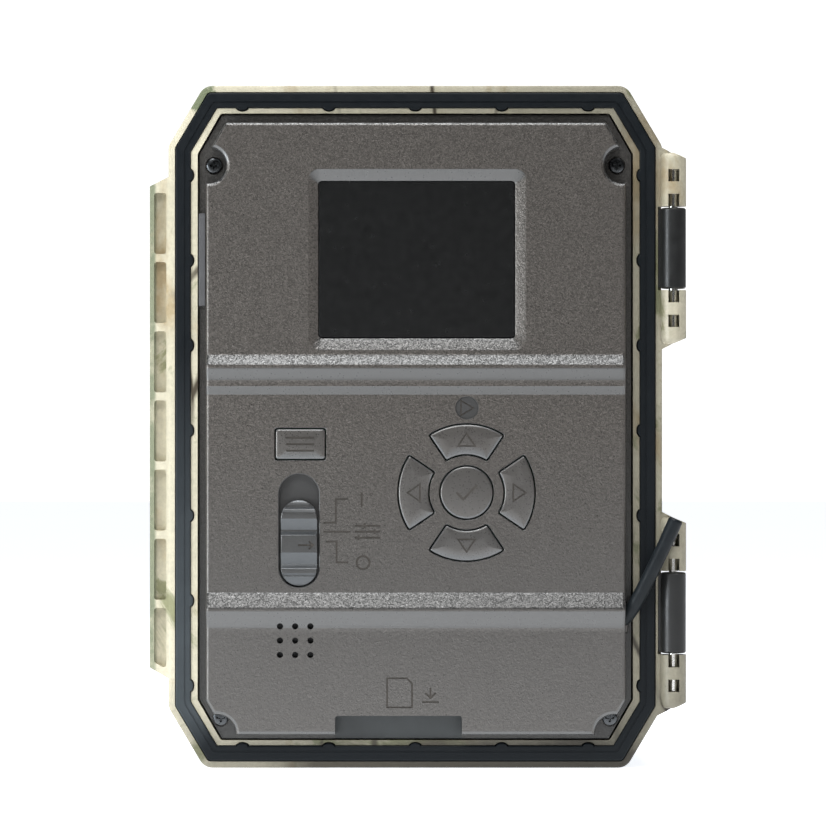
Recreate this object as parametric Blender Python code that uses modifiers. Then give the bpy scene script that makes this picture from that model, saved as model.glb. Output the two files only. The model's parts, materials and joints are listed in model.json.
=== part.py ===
"""Trail camera, the camera half of its case: a camouflage shell with controls, lens, sensors and boards.

Frame: +Z up, -Y towards the person at the control panel, +Y the way the lens looks.
Origin: the middle of the flat base, in the plane that halves the case's width and depth.
"""

import math

import bmesh
import bpy
from mathutils import Matrix, Vector

MM = 0.001
GAP = 0.3 * MM
OVERLAP = 1.0 * MM
STEP = 0.12 * MM

# Case
CASE_WIDTH = 107.4 * MM
CASE_HEIGHT = 148.4 * MM
CASE_DEPTH = 38.0 * MM
CORNER_X = 7.8 * MM
CORNER_Z = 13.1 * MM
CORNER_RADIUS = 3.2 * MM
WALL = 2.6 * MM
RIM_DEPTH = 6.0 * MM
REAR_Y = -CASE_DEPTH / 2
FRONT_Y = CASE_DEPTH / 2
MID_Z = CASE_HEIGHT / 2

# Seal, lip and panel, as insets from the case's outline
SEAL_OUTER = 1.6 * MM
SEAL_INNER = 5.0 * MM
LIP_INNER = 6.45 * MM
FLANGE_INSET = 6.75 * MM
PLATEAU_INSET = 8.2 * MM
GROOVE_DEPTH = 2.6 * MM
SEAL_PROUD = 0.5 * MM
NIB_RADIUS = 1.05 * MM
NIB_PITCH = 18.6 * MM
NIB_MID_Z = 73.6 * MM

# Control panel, depths measured from the rear rim (negative stands proud of it)
PANEL_WALL = 1.6 * MM
FLANGE_TOP_Y = REAR_Y + 0.8 * MM
FLANGE_THICK = 1.8 * MM
PANEL_TOP_Y = REAR_Y - 4.0 * MM
PANEL_IN_Y = PANEL_TOP_Y + PANEL_WALL
RIDGE_HEIGHT = 1.3 * MM
UPPER_RIDGE_Z = 87.6 * MM
LOWER_RIDGE_Z = 34.8 * MM
RIDGE_RISE = 3.0 * MM
RIDGE_FALL = 3.4 * MM

# Display
WINDOW_WIDTH = 42.7 * MM
WINDOW_HEIGHT = 34.2 * MM
WINDOW_X = 0.3 * MM
WINDOW_Z = 110.6 * MM
WINDOW_SLOPE = 2.2 * MM
WINDOW_DEPTH = 1.0 * MM

# Keys
PAD_X = 11.1 * MM
PAD_Z = 59.95 * MM
OK_HOLE_RADIUS = 5.9 * MM
ARC_INNER = 8.05 * MM
ARC_OUTER = 14.95 * MM
ARC_HALF_ANGLE = math.radians(33.5)
MENU_X = -24.9 * MM
MENU_Z = 70.45 * MM
MENU_WIDTH = 11.1 * MM
MENU_HEIGHT = 6.9 * MM
KEY_PROUD = 0.5 * MM

# Mode slider
SLOT_X = -25.2 * MM
SLOT_Z = 51.7 * MM
SLOT_WIDTH = 8.6 * MM
SLOT_LENGTH = 24.5 * MM
KNOB_LENGTH = 18.5 * MM
KNOB_TRAVEL = 5.3 * MM
SLIT_LENGTH = KNOB_TRAVEL + 4.2 * MM

# Corner screws and the notches that they sit in
TOP_SCREW = (43.75 * MM, 131.0 * MM)
LOW_SCREW = (42.3 * MM, 10.9 * MM)
TOP_NOTCH = (44.7 * MM, 131.0 * MM)
LOW_NOTCH = (43.2 * MM, 8.6 * MM)
NOTCH_RADIUS = 4.0 * MM

# Hinges
HINGE_X = 56.1 * MM
HINGE_MID_Z = 73.4 * MM
HINGE_SPREAD = 39.6 * MM
KNUCKLE_RADIUS = 2.8 * MM
BLOCK_LENGTH = 11.6 * MM
SLEEVE_LENGTH = 17.6 * MM
SLEEVE_RADIUS = 2.75 * MM
PIN_RADIUS = 1.0 * MM
PIN_BORE = 1.2 * MM
KNUCKLE_SLOT = 2.7 * MM
KNUCKLE_PITCH = 5.35 * MM
WEB_SLANT = 1.8 * MM

# Latch wing
WING_X = -57.75 * MM
WING_EDGE = (21.85 * MM, 126.5 * MM)
WING_ROOT = (18.9 * MM, 129.0 * MM)
WING_DEPTH = 9.0 * MM
POCKET_COUNT = 7
POCKET_PITCH = 15.05 * MM
POCKET_LENGTH = 13.3 * MM
POCKET_DEPTH = 2.0 * MM
POCKET_MID_Z = 73.3 * MM

# Card recess and speaker
CARD_X = (-17.4 * MM, 10.1 * MM)
CARD_TOP_Z = 11.3 * MM
CARD_SLIT_X = (-15.95 * MM, 8.65 * MM)
SPEAKER = (-26.2 * MM, 27.7 * MM)
SOUND_PITCH = 3.3 * MM
SOUND_HOLE = 0.65 * MM

# Boards behind the panel
BOARD_Y = REAR_Y + 3.6 * MM
BOARD_THICK = 1.6 * MM

# Front of the camera
LENS_Z = 84.0 * MM
IR_Z = 117.0 * MM
PIR_Z = 41.0 * MM
PLATE_WIDTH = 64.0 * MM
PLATE_HEIGHT = 124.0 * MM
EYES = {"status_light": 18 * MM, "light_sensor": -18 * MM}

# Power lead
LEAD_RADIUS = 1.55 * MM
LEAD_ROUTE = [
    (34.9, -18.9, 29.8),
    (37.6, -18.9, 29.8),
    (40.2, -19.1, 30.0),
    (42.7, -19.5, 30.7),
    (44.8, -20.2, 32.0),
    (46.5, -21.0, 33.9),
    (48.1, -21.7, 36.6),
    (49.8, -22.4, 39.9),
    (51.5, -22.9, 43.4),
    (53.2, -23.3, 47.0),
    (54.9, -23.6, 50.7),
    (56.45, -23.8, 54.2),
]
LEAD_MOUTH_Z = (29.4 * MM, 36.0 * MM)
CONNECTOR_LENGTH = 4.4 * MM
CONNECTOR_RADIUS = 1.7 * MM

# Tripod socket
TRIPOD_Y = 8.5 * MM
TRIPOD_BORE = 3.15 * MM

COLOURS = {
    "case": ((0.66, 0.63, 0.50, 1), 0.0, 0.55),
    "seal": ((0.02, 0.025, 0.03, 1), 0.0, 0.5),
    "panel": ((0.11, 0.105, 0.10, 1), 0.4, 0.45),
    "key": ((0.12, 0.115, 0.11, 1), 0.3, 0.35),
    "screen": ((0.012, 0.012, 0.012, 1), 0.0, 0.2),
    "black": ((0.02, 0.02, 0.02, 1), 0.0, 0.45),
    "steel": ((0.55, 0.55, 0.55, 1), 1.0, 0.3),
    "brass": ((0.7, 0.5, 0.2, 1), 1.0, 0.35),
    "board": ((0.02, 0.13, 0.05, 1), 0.0, 0.4),
    "chip": ((0.015, 0.015, 0.018, 1), 0.0, 0.5),
    "glass": ((0.02, 0.02, 0.03, 1), 0.0, 0.05),
    "smoked": ((0.02, 0.008, 0.008, 1), 0.0, 0.08),
    "dome": ((0.75, 0.75, 0.72, 1), 0.0, 0.35),
    "foam": ((0.1, 0.1, 0.105, 1), 0.0, 0.9),
    "amber": ((0.5, 0.22, 0.03, 1), 0.0, 0.4),
}


# ---------------------------------------------------------------- scene and materials


def clear_scene():
    for obj in list(bpy.data.objects):
        bpy.data.objects.remove(obj, do_unlink=True)


def collection(name):
    made = bpy.data.collections.new(name)
    bpy.context.scene.collection.children.link(made)
    return made


clear_scene()
CAMERA = collection("trail_camera")
CUTTERS = collection("cutters")


def material(slot):
    found = bpy.data.materials.get(slot)
    if found:
        return found
    made = bpy.data.materials.new(slot)
    made.use_nodes = True
    colour, metallic, roughness = COLOURS[slot]
    shader = made.node_tree.nodes["Principled BSDF"]
    shader.inputs["Base Color"].default_value = colour
    shader.inputs["Metallic"].default_value = metallic
    shader.inputs["Roughness"].default_value = roughness
    made.diffuse_color = colour
    return made


def place(name, mesh, slot):
    """Puts a mesh in the scene: a part with a material, or a cutter where the slot is None."""
    obj = bpy.data.objects.new(name, mesh)
    if slot is None:
        CUTTERS.objects.link(obj)
        obj.hide_render = True
        obj.display_type = "WIRE"
    else:
        CAMERA.objects.link(obj)
        obj.data.materials.append(material(slot))
    return obj


# ---------------------------------------------------------------- outlines, as (x, z) points


def octagon(inset):
    """The case's outline moved in by inset, all edges by the same distance."""
    lean = math.atan2(CORNER_X, CORNER_Z)
    half = CASE_WIDTH / 2 - inset
    high = CASE_HEIGHT / 2 - inset
    side = high - CORNER_Z + inset - inset * math.tan(lean / 2)
    top = half - CORNER_X + inset - inset * math.tan((math.pi / 2 - lean) / 2)
    quarter = [(half, side), (top, high)]
    right = [(x, -z) for x, z in reversed(quarter)] + quarter
    left = [(-x, z) for x, z in reversed(right)]
    return [(x, z + MID_Z) for x, z in right + left]


def rectangle(width, height, x=0.0, z=0.0):
    w, h = width / 2, height / 2
    return [(x + w, z - h), (x + w, z + h), (x - w, z + h), (x - w, z - h)]


def arc(centre, radius, start, end, steps):
    return [
        (
            centre[0] + radius * math.cos(start + (end - start) * i / steps),
            centre[1] + radius * math.sin(start + (end - start) * i / steps),
        )
        for i in range(steps + 1)
    ]


def rounded(points, radius, steps=3):
    """The polygon with each corner replaced by an arc."""
    out = []
    count = len(points)
    for i, corner in enumerate(points):
        here = Vector(corner)
        before = (Vector(points[i - 1]) - here).normalized()
        after = (Vector(points[(i + 1) % count]) - here).normalized()
        half = before.angle(after) / 2
        centre = here + (before + after).normalized() * radius / math.sin(half)
        reach = radius / math.tan(half)
        first = here + before * reach - centre
        sweep = first.angle_signed(here + after * reach - centre)
        for k in range(steps + 1):
            turned_by = Matrix.Rotation(-sweep * k / steps, 2)
            out.append(tuple(centre + turned_by @ first))
    return out


def stadium(width, length, x, z, steps=8):
    radius = width / 2
    reach = length / 2 - radius
    return arc((x, z + reach), radius, 0, math.pi, steps) + arc(
        (x, z - reach), radius, math.pi, 2 * math.pi, steps
    )


def sector(inner, outer, half_angle, middle, trim=0.0):
    """A piece of a ring round the pad's centre, drawn in by trim all round."""
    inner += trim
    outer -= trim
    points = []
    for radius, sign, steps in ((outer, 1, 8), (inner, -1, 5)):
        reach = (half_angle - math.asin(trim / radius)) * sign
        points += arc((PAD_X, PAD_Z), radius, middle - reach, middle + reach, steps)
    return points


def nib_places():
    """(x, z) and inward direction of each nib on the seal's inner edge."""
    x = CASE_WIDTH / 2 - SEAL_INNER
    low, high = SEAL_INNER, CASE_HEIGHT - SEAL_INNER
    sides = [NIB_MID_Z + k * NIB_PITCH for k in range(-3, 4)]
    ends = [k * NIB_PITCH * 1.01 for k in range(-2, 3)]
    right = [((x, z), (-1, 0)) for z in sides]
    top = [((e, high), (0, -1)) for e in reversed(ends)]
    left = [((-x, z), (1, 0)) for z in reversed(sides)]
    bottom = [((e, low), (0, 1)) for e in ends]
    return right, top, left, bottom


def seal_inner(trim):
    """The seal's inner outline with its half-round nibs; trim makes the groove a little wider."""
    corners = octagon(SEAL_INNER + trim)
    right, top, left, bottom = nib_places()
    radius = NIB_RADIUS + trim
    out = []
    for start, nibs in ((1, right), (3, top), (5, left), (7, bottom)):
        out.append(corners[start])
        for (x, z), (dx, dz) in nibs:
            along = Vector((-dz, dx))
            for k in range(5):
                angle = math.pi * k / 4
                side = -math.cos(angle) * radius
                deep = math.sin(angle) * radius * 0.8 + trim
                point = Vector((x, z)) - along * side + Vector((dx, dz)) * deep
                out.append(tuple(point))
        out.append(corners[(start + 1) % 8])
    return out


# ---------------------------------------------------------------- solids


def plate(name, outlines, y_near, y_far, slot=None):
    """A flat piece whose (x, z) outlines are filled between two depths; further outlines are holes."""
    curve = bpy.data.curves.new(name, "CURVE")
    curve.dimensions = "2D"
    curve.fill_mode = "BOTH"
    curve.extrude = (y_far - y_near) / 2
    for points in outlines:
        spline = curve.splines.new("POLY")
        spline.points.add(len(points) - 1)
        for point, (x, z) in zip(spline.points, points):
            point.co = (x, z, 0, 1)
        spline.use_cyclic_u = True
    guide = bpy.data.objects.new(name + "_curve", curve)
    CUTTERS.objects.link(guide)
    graph = bpy.context.evaluated_depsgraph_get()
    mesh = bpy.data.meshes.new_from_object(guide.evaluated_get(graph))
    bpy.data.objects.remove(guide)
    turn = Matrix.Translation((0, (y_near + y_far) / 2, 0)) @ Matrix.Rotation(math.pi / 2, 4, "X")
    mesh.transform(turn)
    tidy(mesh)
    return place(name, mesh, slot)


def tidy(mesh):
    """Welds a mesh and merges its flat triangles."""
    bm = bmesh.new()
    bm.from_mesh(mesh)
    bmesh.ops.remove_doubles(bm, verts=bm.verts, dist=0.001 * MM)
    bmesh.ops.dissolve_limit(bm, angle_limit=math.radians(1), verts=bm.verts, edges=bm.edges)
    bmesh.ops.recalc_face_normals(bm, faces=bm.faces)
    bm.to_mesh(mesh)
    bm.free()


def box(name, x, y, z, slot=None):
    """A block between two limits on each axis."""
    bm = bmesh.new()
    bmesh.ops.create_cube(bm, size=1)
    size = Matrix.Diagonal((x[1] - x[0], y[1] - y[0], z[1] - z[0], 1))
    middle = Matrix.Translation(((x[0] + x[1]) / 2, (y[0] + y[1]) / 2, (z[0] + z[1]) / 2))
    bmesh.ops.transform(bm, matrix=middle @ size, verts=bm.verts)
    mesh = bpy.data.meshes.new(name)
    bm.to_mesh(mesh)
    bm.free()
    return place(name, mesh, slot)


def block(name, centre, size, slot=None):
    """A block round a centre."""
    limits = [(c - s / 2, c + s / 2) for c, s in zip(centre, size)]
    return box(name, *limits, slot=slot)


def axis_turn(axis):
    return Vector((0, 0, 1)).rotation_difference(Vector(axis)).to_matrix().to_4x4()


def rod(name, start, end, radius, slot=None, sides=16, radius_end=None):
    """A cylinder or cone from start to end."""
    start, end = Vector(start), Vector(end)
    bm = bmesh.new()
    bmesh.ops.create_cone(
        bm,
        cap_ends=True,
        segments=sides,
        radius1=radius,
        radius2=radius if radius_end is None else radius_end,
        depth=(end - start).length,
    )
    bm.transform(Matrix.Translation((start + end) / 2) @ axis_turn(end - start))
    mesh = bpy.data.meshes.new(name)
    bm.to_mesh(mesh)
    bm.free()
    return place(name, mesh, slot)


def along_y(name, x, z, y_near, y_far, radius, slot=None, sides=16):
    return rod(name, (x, y_near, z), (x, y_far, z), radius, slot, sides)


def turned(name, profile, x, z, slot=None, steps=32, closed=False):
    """A turned piece on an axis along +Y at (x, z); its profile holds (radius, y) from far to near."""
    mesh = bpy.data.meshes.new(name)
    points = [(radius, 0, y) for radius, y in profile]
    edges = [(i, i + 1) for i in range(len(points) - 1)]
    if closed:
        edges.append((len(points) - 1, 0))
    mesh.from_pydata(points, edges, [])
    obj = place(name, mesh, slot)
    obj.rotation_euler = (-math.pi / 2, 0, 0)
    obj.location = (x, 0, z)
    screw = obj.modifiers.new("turn", "SCREW")
    screw.steps = screw.render_steps = steps
    screw.use_merge_vertices = True
    screw.merge_threshold = 0.01 * MM
    return obj


def boolean(target, tool, operation):
    modifier = target.modifiers.new(f"{operation.lower()}_{tool.name}", "BOOLEAN")
    modifier.operation = operation
    modifier.object = tool
    modifier.solver = "EXACT"
    return target


def cut(target, *tools):
    for tool in tools:
        boolean(target, tool, "DIFFERENCE")
    return target


def join(target, *tools):
    for tool in tools:
        boolean(target, tool, "UNION")
    return target


def soften(obj, y, width, segments=1, tolerance=0.01 * MM):
    """Bevels the edges of a mesh that lie at depth y."""
    bm = bmesh.new()
    bm.from_mesh(obj.data)
    edges = [e for e in bm.edges if all(abs(v.co.y - y) < tolerance for v in e.verts)]
    bmesh.ops.bevel(bm, geom=edges, offset=width, segments=segments, profile=0.5, affect="EDGES")
    bm.to_mesh(obj.data)
    bm.free()
    return obj


def move_origin(obj, point):
    """Puts an object's own origin at a point, without moving the object."""
    obj.data.transform(Matrix.Translation(-Vector(point)))
    obj.location = point


def smooth(obj, angle=35):
    obj.data.shade_smooth()
    obj.data.set_sharp_from_angle(angle=math.radians(angle))
    return obj


# ---------------------------------------------------------------- case and seal


def hinge_centres():
    return {"upper": HINGE_MID_Z + HINGE_SPREAD, "lower": HINGE_MID_Z - HINGE_SPREAD}


def knuckle_blocks():
    """(name, low z, high z, direction away from the sleeve) of the four knuckle blocks."""
    start = SLEEVE_LENGTH / 2 + GAP
    for name, middle in hinge_centres().items():
        yield name + "_top", middle + start, middle + start + BLOCK_LENGTH, 1
        yield name + "_low", middle - start - BLOCK_LENGTH, middle - start, -1


def hinge_line(low, high):
    """The ends of a stretch of the hinge axis."""
    return (HINGE_X, REAR_Y, low), (HINGE_X, REAR_Y, high)


def add_knuckles(case):
    wall_x = CASE_WIDTH / 2
    for name, low, high, way in knuckle_blocks():
        root = wall_x - 1.2 * MM
        root_low = low - (WEB_SLANT if way < 0 else 0)
        root_high = high + (WEB_SLANT if way > 0 else 0)
        outline = [(root, root_low), (HINGE_X, low), (HINGE_X, high), (root, root_high)]
        web = plate("web_" + name, [outline], REAR_Y + STEP, REAR_Y + KNUCKLE_RADIUS)
        barrel = rod("barrel_" + name, *hinge_line(low, high), KNUCKLE_RADIUS)
        join(case, web, barrel)
    for name, low, high, way in knuckle_blocks():
        cut(case, rod("bore_" + name, *hinge_line(low - OVERLAP, high + OVERLAP), PIN_BORE, sides=12))
        near = low if way > 0 else high
        for k in range(2):
            first = near + way * (k * KNUCKLE_PITCH - (OVERLAP if k == 0 else 0))
            last = near + way * (k * KNUCKLE_PITCH + KNUCKLE_SLOT)
            slot = box(
                f"knuckle_slot_{name}_{k}",
                (HINGE_X - PIN_BORE, HINGE_X + PIN_BORE),
                (REAR_Y - 2 * KNUCKLE_RADIUS, REAR_Y),
                (min(first, last), max(first, last)),
            )
            cut(case, slot)
    for name, middle in hinge_centres().items():
        half = SLEEVE_LENGTH / 2 + GAP
        gate = box(
            "sleeve_gate_" + name,
            (wall_x - 0.95 * MM, wall_x + 10 * MM),
            (REAR_Y - OVERLAP, REAR_Y + 4.2 * MM),
            (middle - half, middle + half),
        )
        cut(case, gate)


def wing_outline():
    root_x = -CASE_WIDTH / 2 + 1.2 * MM
    return [
        (root_x, WING_ROOT[0]),
        (root_x, WING_ROOT[1]),
        (WING_X, WING_EDGE[1]),
        (WING_X, WING_EDGE[0]),
    ]


def add_wing(case):
    join(case, plate("wing", [wing_outline()], REAR_Y + STEP, REAR_Y + WING_DEPTH))
    left, right = WING_X + 1.1 * MM, WING_X + 3.75 * MM
    for k in range(POCKET_COUNT):
        middle = POCKET_MID_Z + (k - POCKET_COUNT // 2) * POCKET_PITCH
        low = max(middle - POCKET_LENGTH / 2, WING_EDGE[0] + 1.1 * MM)
        high = min(middle + POCKET_LENGTH / 2, WING_EDGE[1] - 1.1 * MM)
        outline = [(right, low), (right, high), (left, high), (left, low)]
        pocket = plate(f"pocket_{k}", [outline], REAR_Y - OVERLAP, REAR_Y + POCKET_DEPTH)
        cut(case, pocket)


def make_case():
    case = plate("front_case", [rounded(octagon(0), CORNER_RADIUS)], REAR_Y, FRONT_Y, "case")
    soften(case, FRONT_Y, 2.8 * MM, segments=2)
    soften(case, REAR_Y, 0.5 * MM)
    add_wing(case)
    cut(
        case,
        plate("cavity", [octagon(WALL)], REAR_Y + RIM_DEPTH, FRONT_Y - WALL),
        plate("mouth", [octagon(LIP_INNER)], REAR_Y - OVERLAP, REAR_Y + RIM_DEPTH + OVERLAP),
        plate(
            "groove",
            [octagon(SEAL_OUTER), seal_inner(0.0)],
            REAR_Y - OVERLAP,
            REAR_Y + GROOVE_DEPTH,
        ),
    )
    cut(
        case,
        plate("plate_seat", [face_outline(0.0)], FRONT_Y - 1.6 * MM, FRONT_Y + OVERLAP),
        block("ir_opening", (0, FRONT_Y, IR_Z), (46 * MM, 12 * MM, 22 * MM)),
        along_y("lens_opening", 0, LENS_Z, FRONT_Y - 8 * MM, FRONT_Y + OVERLAP, 8.6 * MM, sides=24),
        along_y("pir_opening", 0, PIR_Z, FRONT_Y - 8 * MM, FRONT_Y + OVERLAP, 13.0 * MM, sides=24),
    )
    for name, x in EYES.items():
        ends = FRONT_Y - 8 * MM, FRONT_Y + OVERLAP
        cut(case, along_y(name + "_opening", x, LENS_Z, *ends, 2.2 * MM, sides=12))
    for name, (x, z) in screw_places().items():
        post_y = FLANGE_TOP_Y + FLANGE_THICK + GAP
        join(case, along_y("post_" + name, x, z, post_y, FRONT_Y - 1.0 * MM, 3.0 * MM, sides=12))
        cut(case, along_y("pilot_" + name, x, z, REAR_Y, REAR_Y + 14 * MM, 1.3 * MM, sides=8))
    add_knuckles(case)
    boss = rod("tripod_boss", (0, TRIPOD_Y, 1.0 * MM), (0, TRIPOD_Y, 11.5 * MM), 7.0 * MM)
    socket = rod("tripod_seat", (0, TRIPOD_Y, -OVERLAP), (0, TRIPOD_Y, 10.0 * MM), 5.0 * MM)
    join(case, boss)
    cut(case, socket)
    smooth(case)


def make_seal():
    rings = [octagon(SEAL_OUTER + GAP / 2), seal_inner(-GAP / 2)]
    seal = plate("seal", rings, REAR_Y - SEAL_PROUD, REAR_Y + GROOVE_DEPTH - GAP, "seal")
    soften(seal, REAR_Y - SEAL_PROUD, 0.35 * MM)
    smooth(seal)


# ---------------------------------------------------------------- control panel


def screw_places():
    (tx, tz), (lx, lz) = TOP_SCREW, LOW_SCREW
    return {"top_left": (-tx, tz), "top_right": (tx, tz), "low_left": (-lx, lz), "low_right": (lx, lz)}


def notch_cutters(name, grow, y_near, y_far):
    """The four round corner notches, grown by a wall where they shape the inside."""
    made = []
    for side in (-1, 1):
        for (x, z), label in ((TOP_NOTCH, "top"), (LOW_NOTCH, "low")):
            radius = NOTCH_RADIUS + grow
            made.append(along_y(f"{name}_{label}_{side}", side * x, z, y_near, y_far, radius, sides=24))
    return made


def ridge_profile():
    """(y, z) of the panel's face from top to bottom: flat, with two roof-shaped ridges."""
    top, low = CASE_HEIGHT, 0.0
    crest = PANEL_TOP_Y - RIDGE_HEIGHT
    upper, lower = UPPER_RIDGE_Z, LOWER_RIDGE_Z
    bead = PANEL_TOP_Y - 0.45 * MM
    return [
        (PANEL_TOP_Y, top),
        (PANEL_TOP_Y, upper + RIDGE_RISE * 0.85),
        (crest, upper),
        (crest, upper - 0.5 * MM),
        (bead, upper - RIDGE_FALL - 0.4 * MM),
        (bead - 0.2 * MM, upper - RIDGE_FALL - 0.7 * MM),
        (bead, upper - RIDGE_FALL - 2.3 * MM),
        (PANEL_TOP_Y, upper - RIDGE_FALL - 2.6 * MM),
        (PANEL_TOP_Y, lower + RIDGE_RISE * 1.1),
        (crest, lower),
        (crest, lower - 0.5 * MM),
        (PANEL_TOP_Y, lower - RIDGE_FALL - 0.6 * MM),
        (PANEL_TOP_Y, low),
    ]


def extrude_x(name, profile, x_low, x_high, slot=None):
    """A bar of one (y, z) section along X."""
    bar = plate(name, [[(y, z) for y, z in profile]], x_low, x_high, slot)
    bar.data.transform(Matrix(((0, 1, 0, 0), (1, 0, 0, 0), (0, 0, 1, 0), (0, 0, 0, 1))))
    bar.data.flip_normals()
    return bar


def make_panel():
    profile = ridge_profile()
    floor = FLANGE_TOP_Y + 0.5 * MM
    half = CASE_WIDTH / 2
    panel = plate("control_panel", [octagon(PLATEAU_INSET)], REAR_Y - 8 * MM, floor, "panel")
    back = REAR_Y + 5 * MM
    face = extrude_x("panel_face", profile + [(back, 0), (back, CASE_HEIGHT)], -half, half)
    boolean(panel, face, "INTERSECT")
    flange = plate("panel_flange", [octagon(FLANGE_INSET)], FLANGE_TOP_Y, FLANGE_TOP_Y + FLANGE_THICK)
    cut(panel, *notch_cutters("notch", 0.0, REAR_Y - 9 * MM, floor + OVERLAP))
    cut(panel, box("card_recess", CARD_X, (REAR_Y - 9 * MM, floor + OVERLAP), (0, CARD_TOP_Z)))
    join(panel, flange)

    inside = plate("panel_inside", [octagon(PLATEAU_INSET + PANEL_WALL)], PANEL_IN_Y, REAR_Y + 4 * MM)
    cut(inside, *notch_cutters("notch_wall", PANEL_WALL, REAR_Y - 9 * MM, REAR_Y + 5 * MM))
    wall = PANEL_WALL
    card_wall = (CARD_X[0] - wall, CARD_X[1] + wall)
    cut(inside, box("card_wall", card_wall, (REAR_Y - 9 * MM, REAR_Y + 5 * MM), (0, CARD_TOP_Z + wall)))
    cut(panel, inside)

    add_window_opening(panel)
    add_key_openings(panel)
    add_slider_slot(panel)
    for column in (-1, 0, 1):
        for row in (-1, 0, 1):
            x, z = SPEAKER[0] + column * SOUND_PITCH, SPEAKER[1] + row * SOUND_PITCH * 0.94
            name = f"sound_hole_{column}_{row}"
            cut(panel, along_y(name, x, z, REAR_Y - 7 * MM, PANEL_IN_Y + OVERLAP, SOUND_HOLE, sides=8))
    cut(panel, box("card_mouth", CARD_SLIT_X, (REAR_Y - 1.8 * MM, REAR_Y + 0.3 * MM), (8 * MM, 14 * MM)))
    cut(panel, box("lead_mouth", (43 * MM, 46.3 * MM), (REAR_Y - 3.6 * MM, REAR_Y + 2.2 * MM), LEAD_MOUTH_Z))
    for name, (x, z) in screw_places().items():
        seat = along_y("seat_" + name, x, z, REAR_Y - 9 * MM, FLANGE_TOP_Y + 0.7 * MM, 1.95 * MM)
        hole = along_y("hole_" + name, x, z, REAR_Y - 9 * MM, REAR_Y + 6 * MM, 1.25 * MM, sides=12)
        cut(panel, seat, hole)
    for name, (x, z) in board_post_places().items():
        ends = PANEL_IN_Y - 0.5 * MM, BOARD_Y - GAP
        join(panel, along_y("board_post_" + name, x, z, *ends, 2.0 * MM, sides=12))
        cut(panel, along_y("board_pilot_" + name, x, z, REAR_Y, BOARD_Y + OVERLAP, 0.95 * MM, sides=8))
    smooth(panel, 30)


def add_window_opening(panel):
    """The display's opening, with four sloping sides down to the screen."""
    slope = block(
        "window_slope",
        (WINDOW_X, PANEL_TOP_Y, WINDOW_Z),
        (WINDOW_WIDTH + 2 * WINDOW_SLOPE * 2, 2 * WINDOW_DEPTH, WINDOW_HEIGHT + 2 * WINDOW_SLOPE * 2),
    )
    for vertex in slope.data.vertices:
        if vertex.co.y > PANEL_TOP_Y:
            vertex.co.x -= math.copysign(2 * WINDOW_SLOPE, vertex.co.x - WINDOW_X)
            vertex.co.z -= math.copysign(2 * WINDOW_SLOPE, vertex.co.z - WINDOW_Z)
    size = (WINDOW_WIDTH, 8 * MM, WINDOW_HEIGHT)
    cut(panel, slope, block("window_opening", (WINDOW_X, PANEL_TOP_Y, WINDOW_Z), size))


ARC_MIDDLES = {"right": 0.0, "up": math.pi / 2, "left": math.pi, "down": -math.pi / 2}


def key_outlines(trim):
    """The outline of each key, drawn in by trim."""
    menu = rectangle(MENU_WIDTH - 2 * trim, MENU_HEIGHT - 2 * trim, MENU_X, MENU_Z)
    outlines = {
        "ok": arc((PAD_X, PAD_Z), OK_HOLE_RADIUS - trim, 0, 2 * math.pi * 23 / 24, 23),
        "menu": rounded(menu, 0.5 * MM, 2),
    }
    for name, middle in ARC_MIDDLES.items():
        outlines[name] = sector(ARC_INNER, ARC_OUTER, ARC_HALF_ANGLE, middle, trim)
    return outlines


def key_middles():
    middles = {"ok": (PAD_X, PAD_Z), "menu": (MENU_X, MENU_Z)}
    radius = (ARC_INNER + ARC_OUTER) / 2
    for name, angle in ARC_MIDDLES.items():
        middles[name] = (PAD_X + radius * math.cos(angle), PAD_Z + radius * math.sin(angle))
    return middles


def add_key_openings(panel):
    for name, outline in key_outlines(0.0).items():
        cut(panel, plate("opening_" + name, [outline], PANEL_TOP_Y - OVERLAP, PANEL_IN_Y + OVERLAP))


def add_slider_slot(panel):
    """A sunk track for the slider, with a narrow slit for its stem."""
    around = stadium(SLOT_WIDTH + 3 * MM, SLOT_LENGTH + 3 * MM, SLOT_X, SLOT_Z)
    inside = stadium(SLOT_WIDTH, SLOT_LENGTH, SLOT_X, SLOT_Z)
    join(panel, plate("slider_pad", [around], PANEL_IN_Y - 0.6 * MM, PANEL_IN_Y + 1.5 * MM))
    cut(panel, plate("slider_track", [inside], PANEL_TOP_Y - OVERLAP, PANEL_IN_Y))
    cut(panel, block("slider_slit", (SLOT_X, PANEL_IN_Y, SLOT_Z), (2.8 * MM, 8 * MM, SLIT_LENGTH)))


def make_keys():
    for name, outline in key_outlines(0.28 * MM).items():
        cap = plate("key_" + name, [outline], PANEL_TOP_Y - KEY_PROUD, PANEL_IN_Y + GAP + 0.5 * MM, "key")
        soften(cap, PANEL_TOP_Y - KEY_PROUD, 0.3 * MM)
        collar_outline = key_outlines(-0.45 * MM)[name]
        collar = plate("collar_" + name, [collar_outline], PANEL_IN_Y + GAP, PANEL_IN_Y + GAP + 0.5 * MM)
        x, z = key_middles()[name]
        stem = along_y("stem_" + name, x, z, PANEL_IN_Y, REAR_Y - 1.3 * MM, 1.2 * MM, sides=8)
        join(cap, collar, stem)
        smooth(cap)
        move_origin(cap, (x, PANEL_TOP_Y, z))


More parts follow.
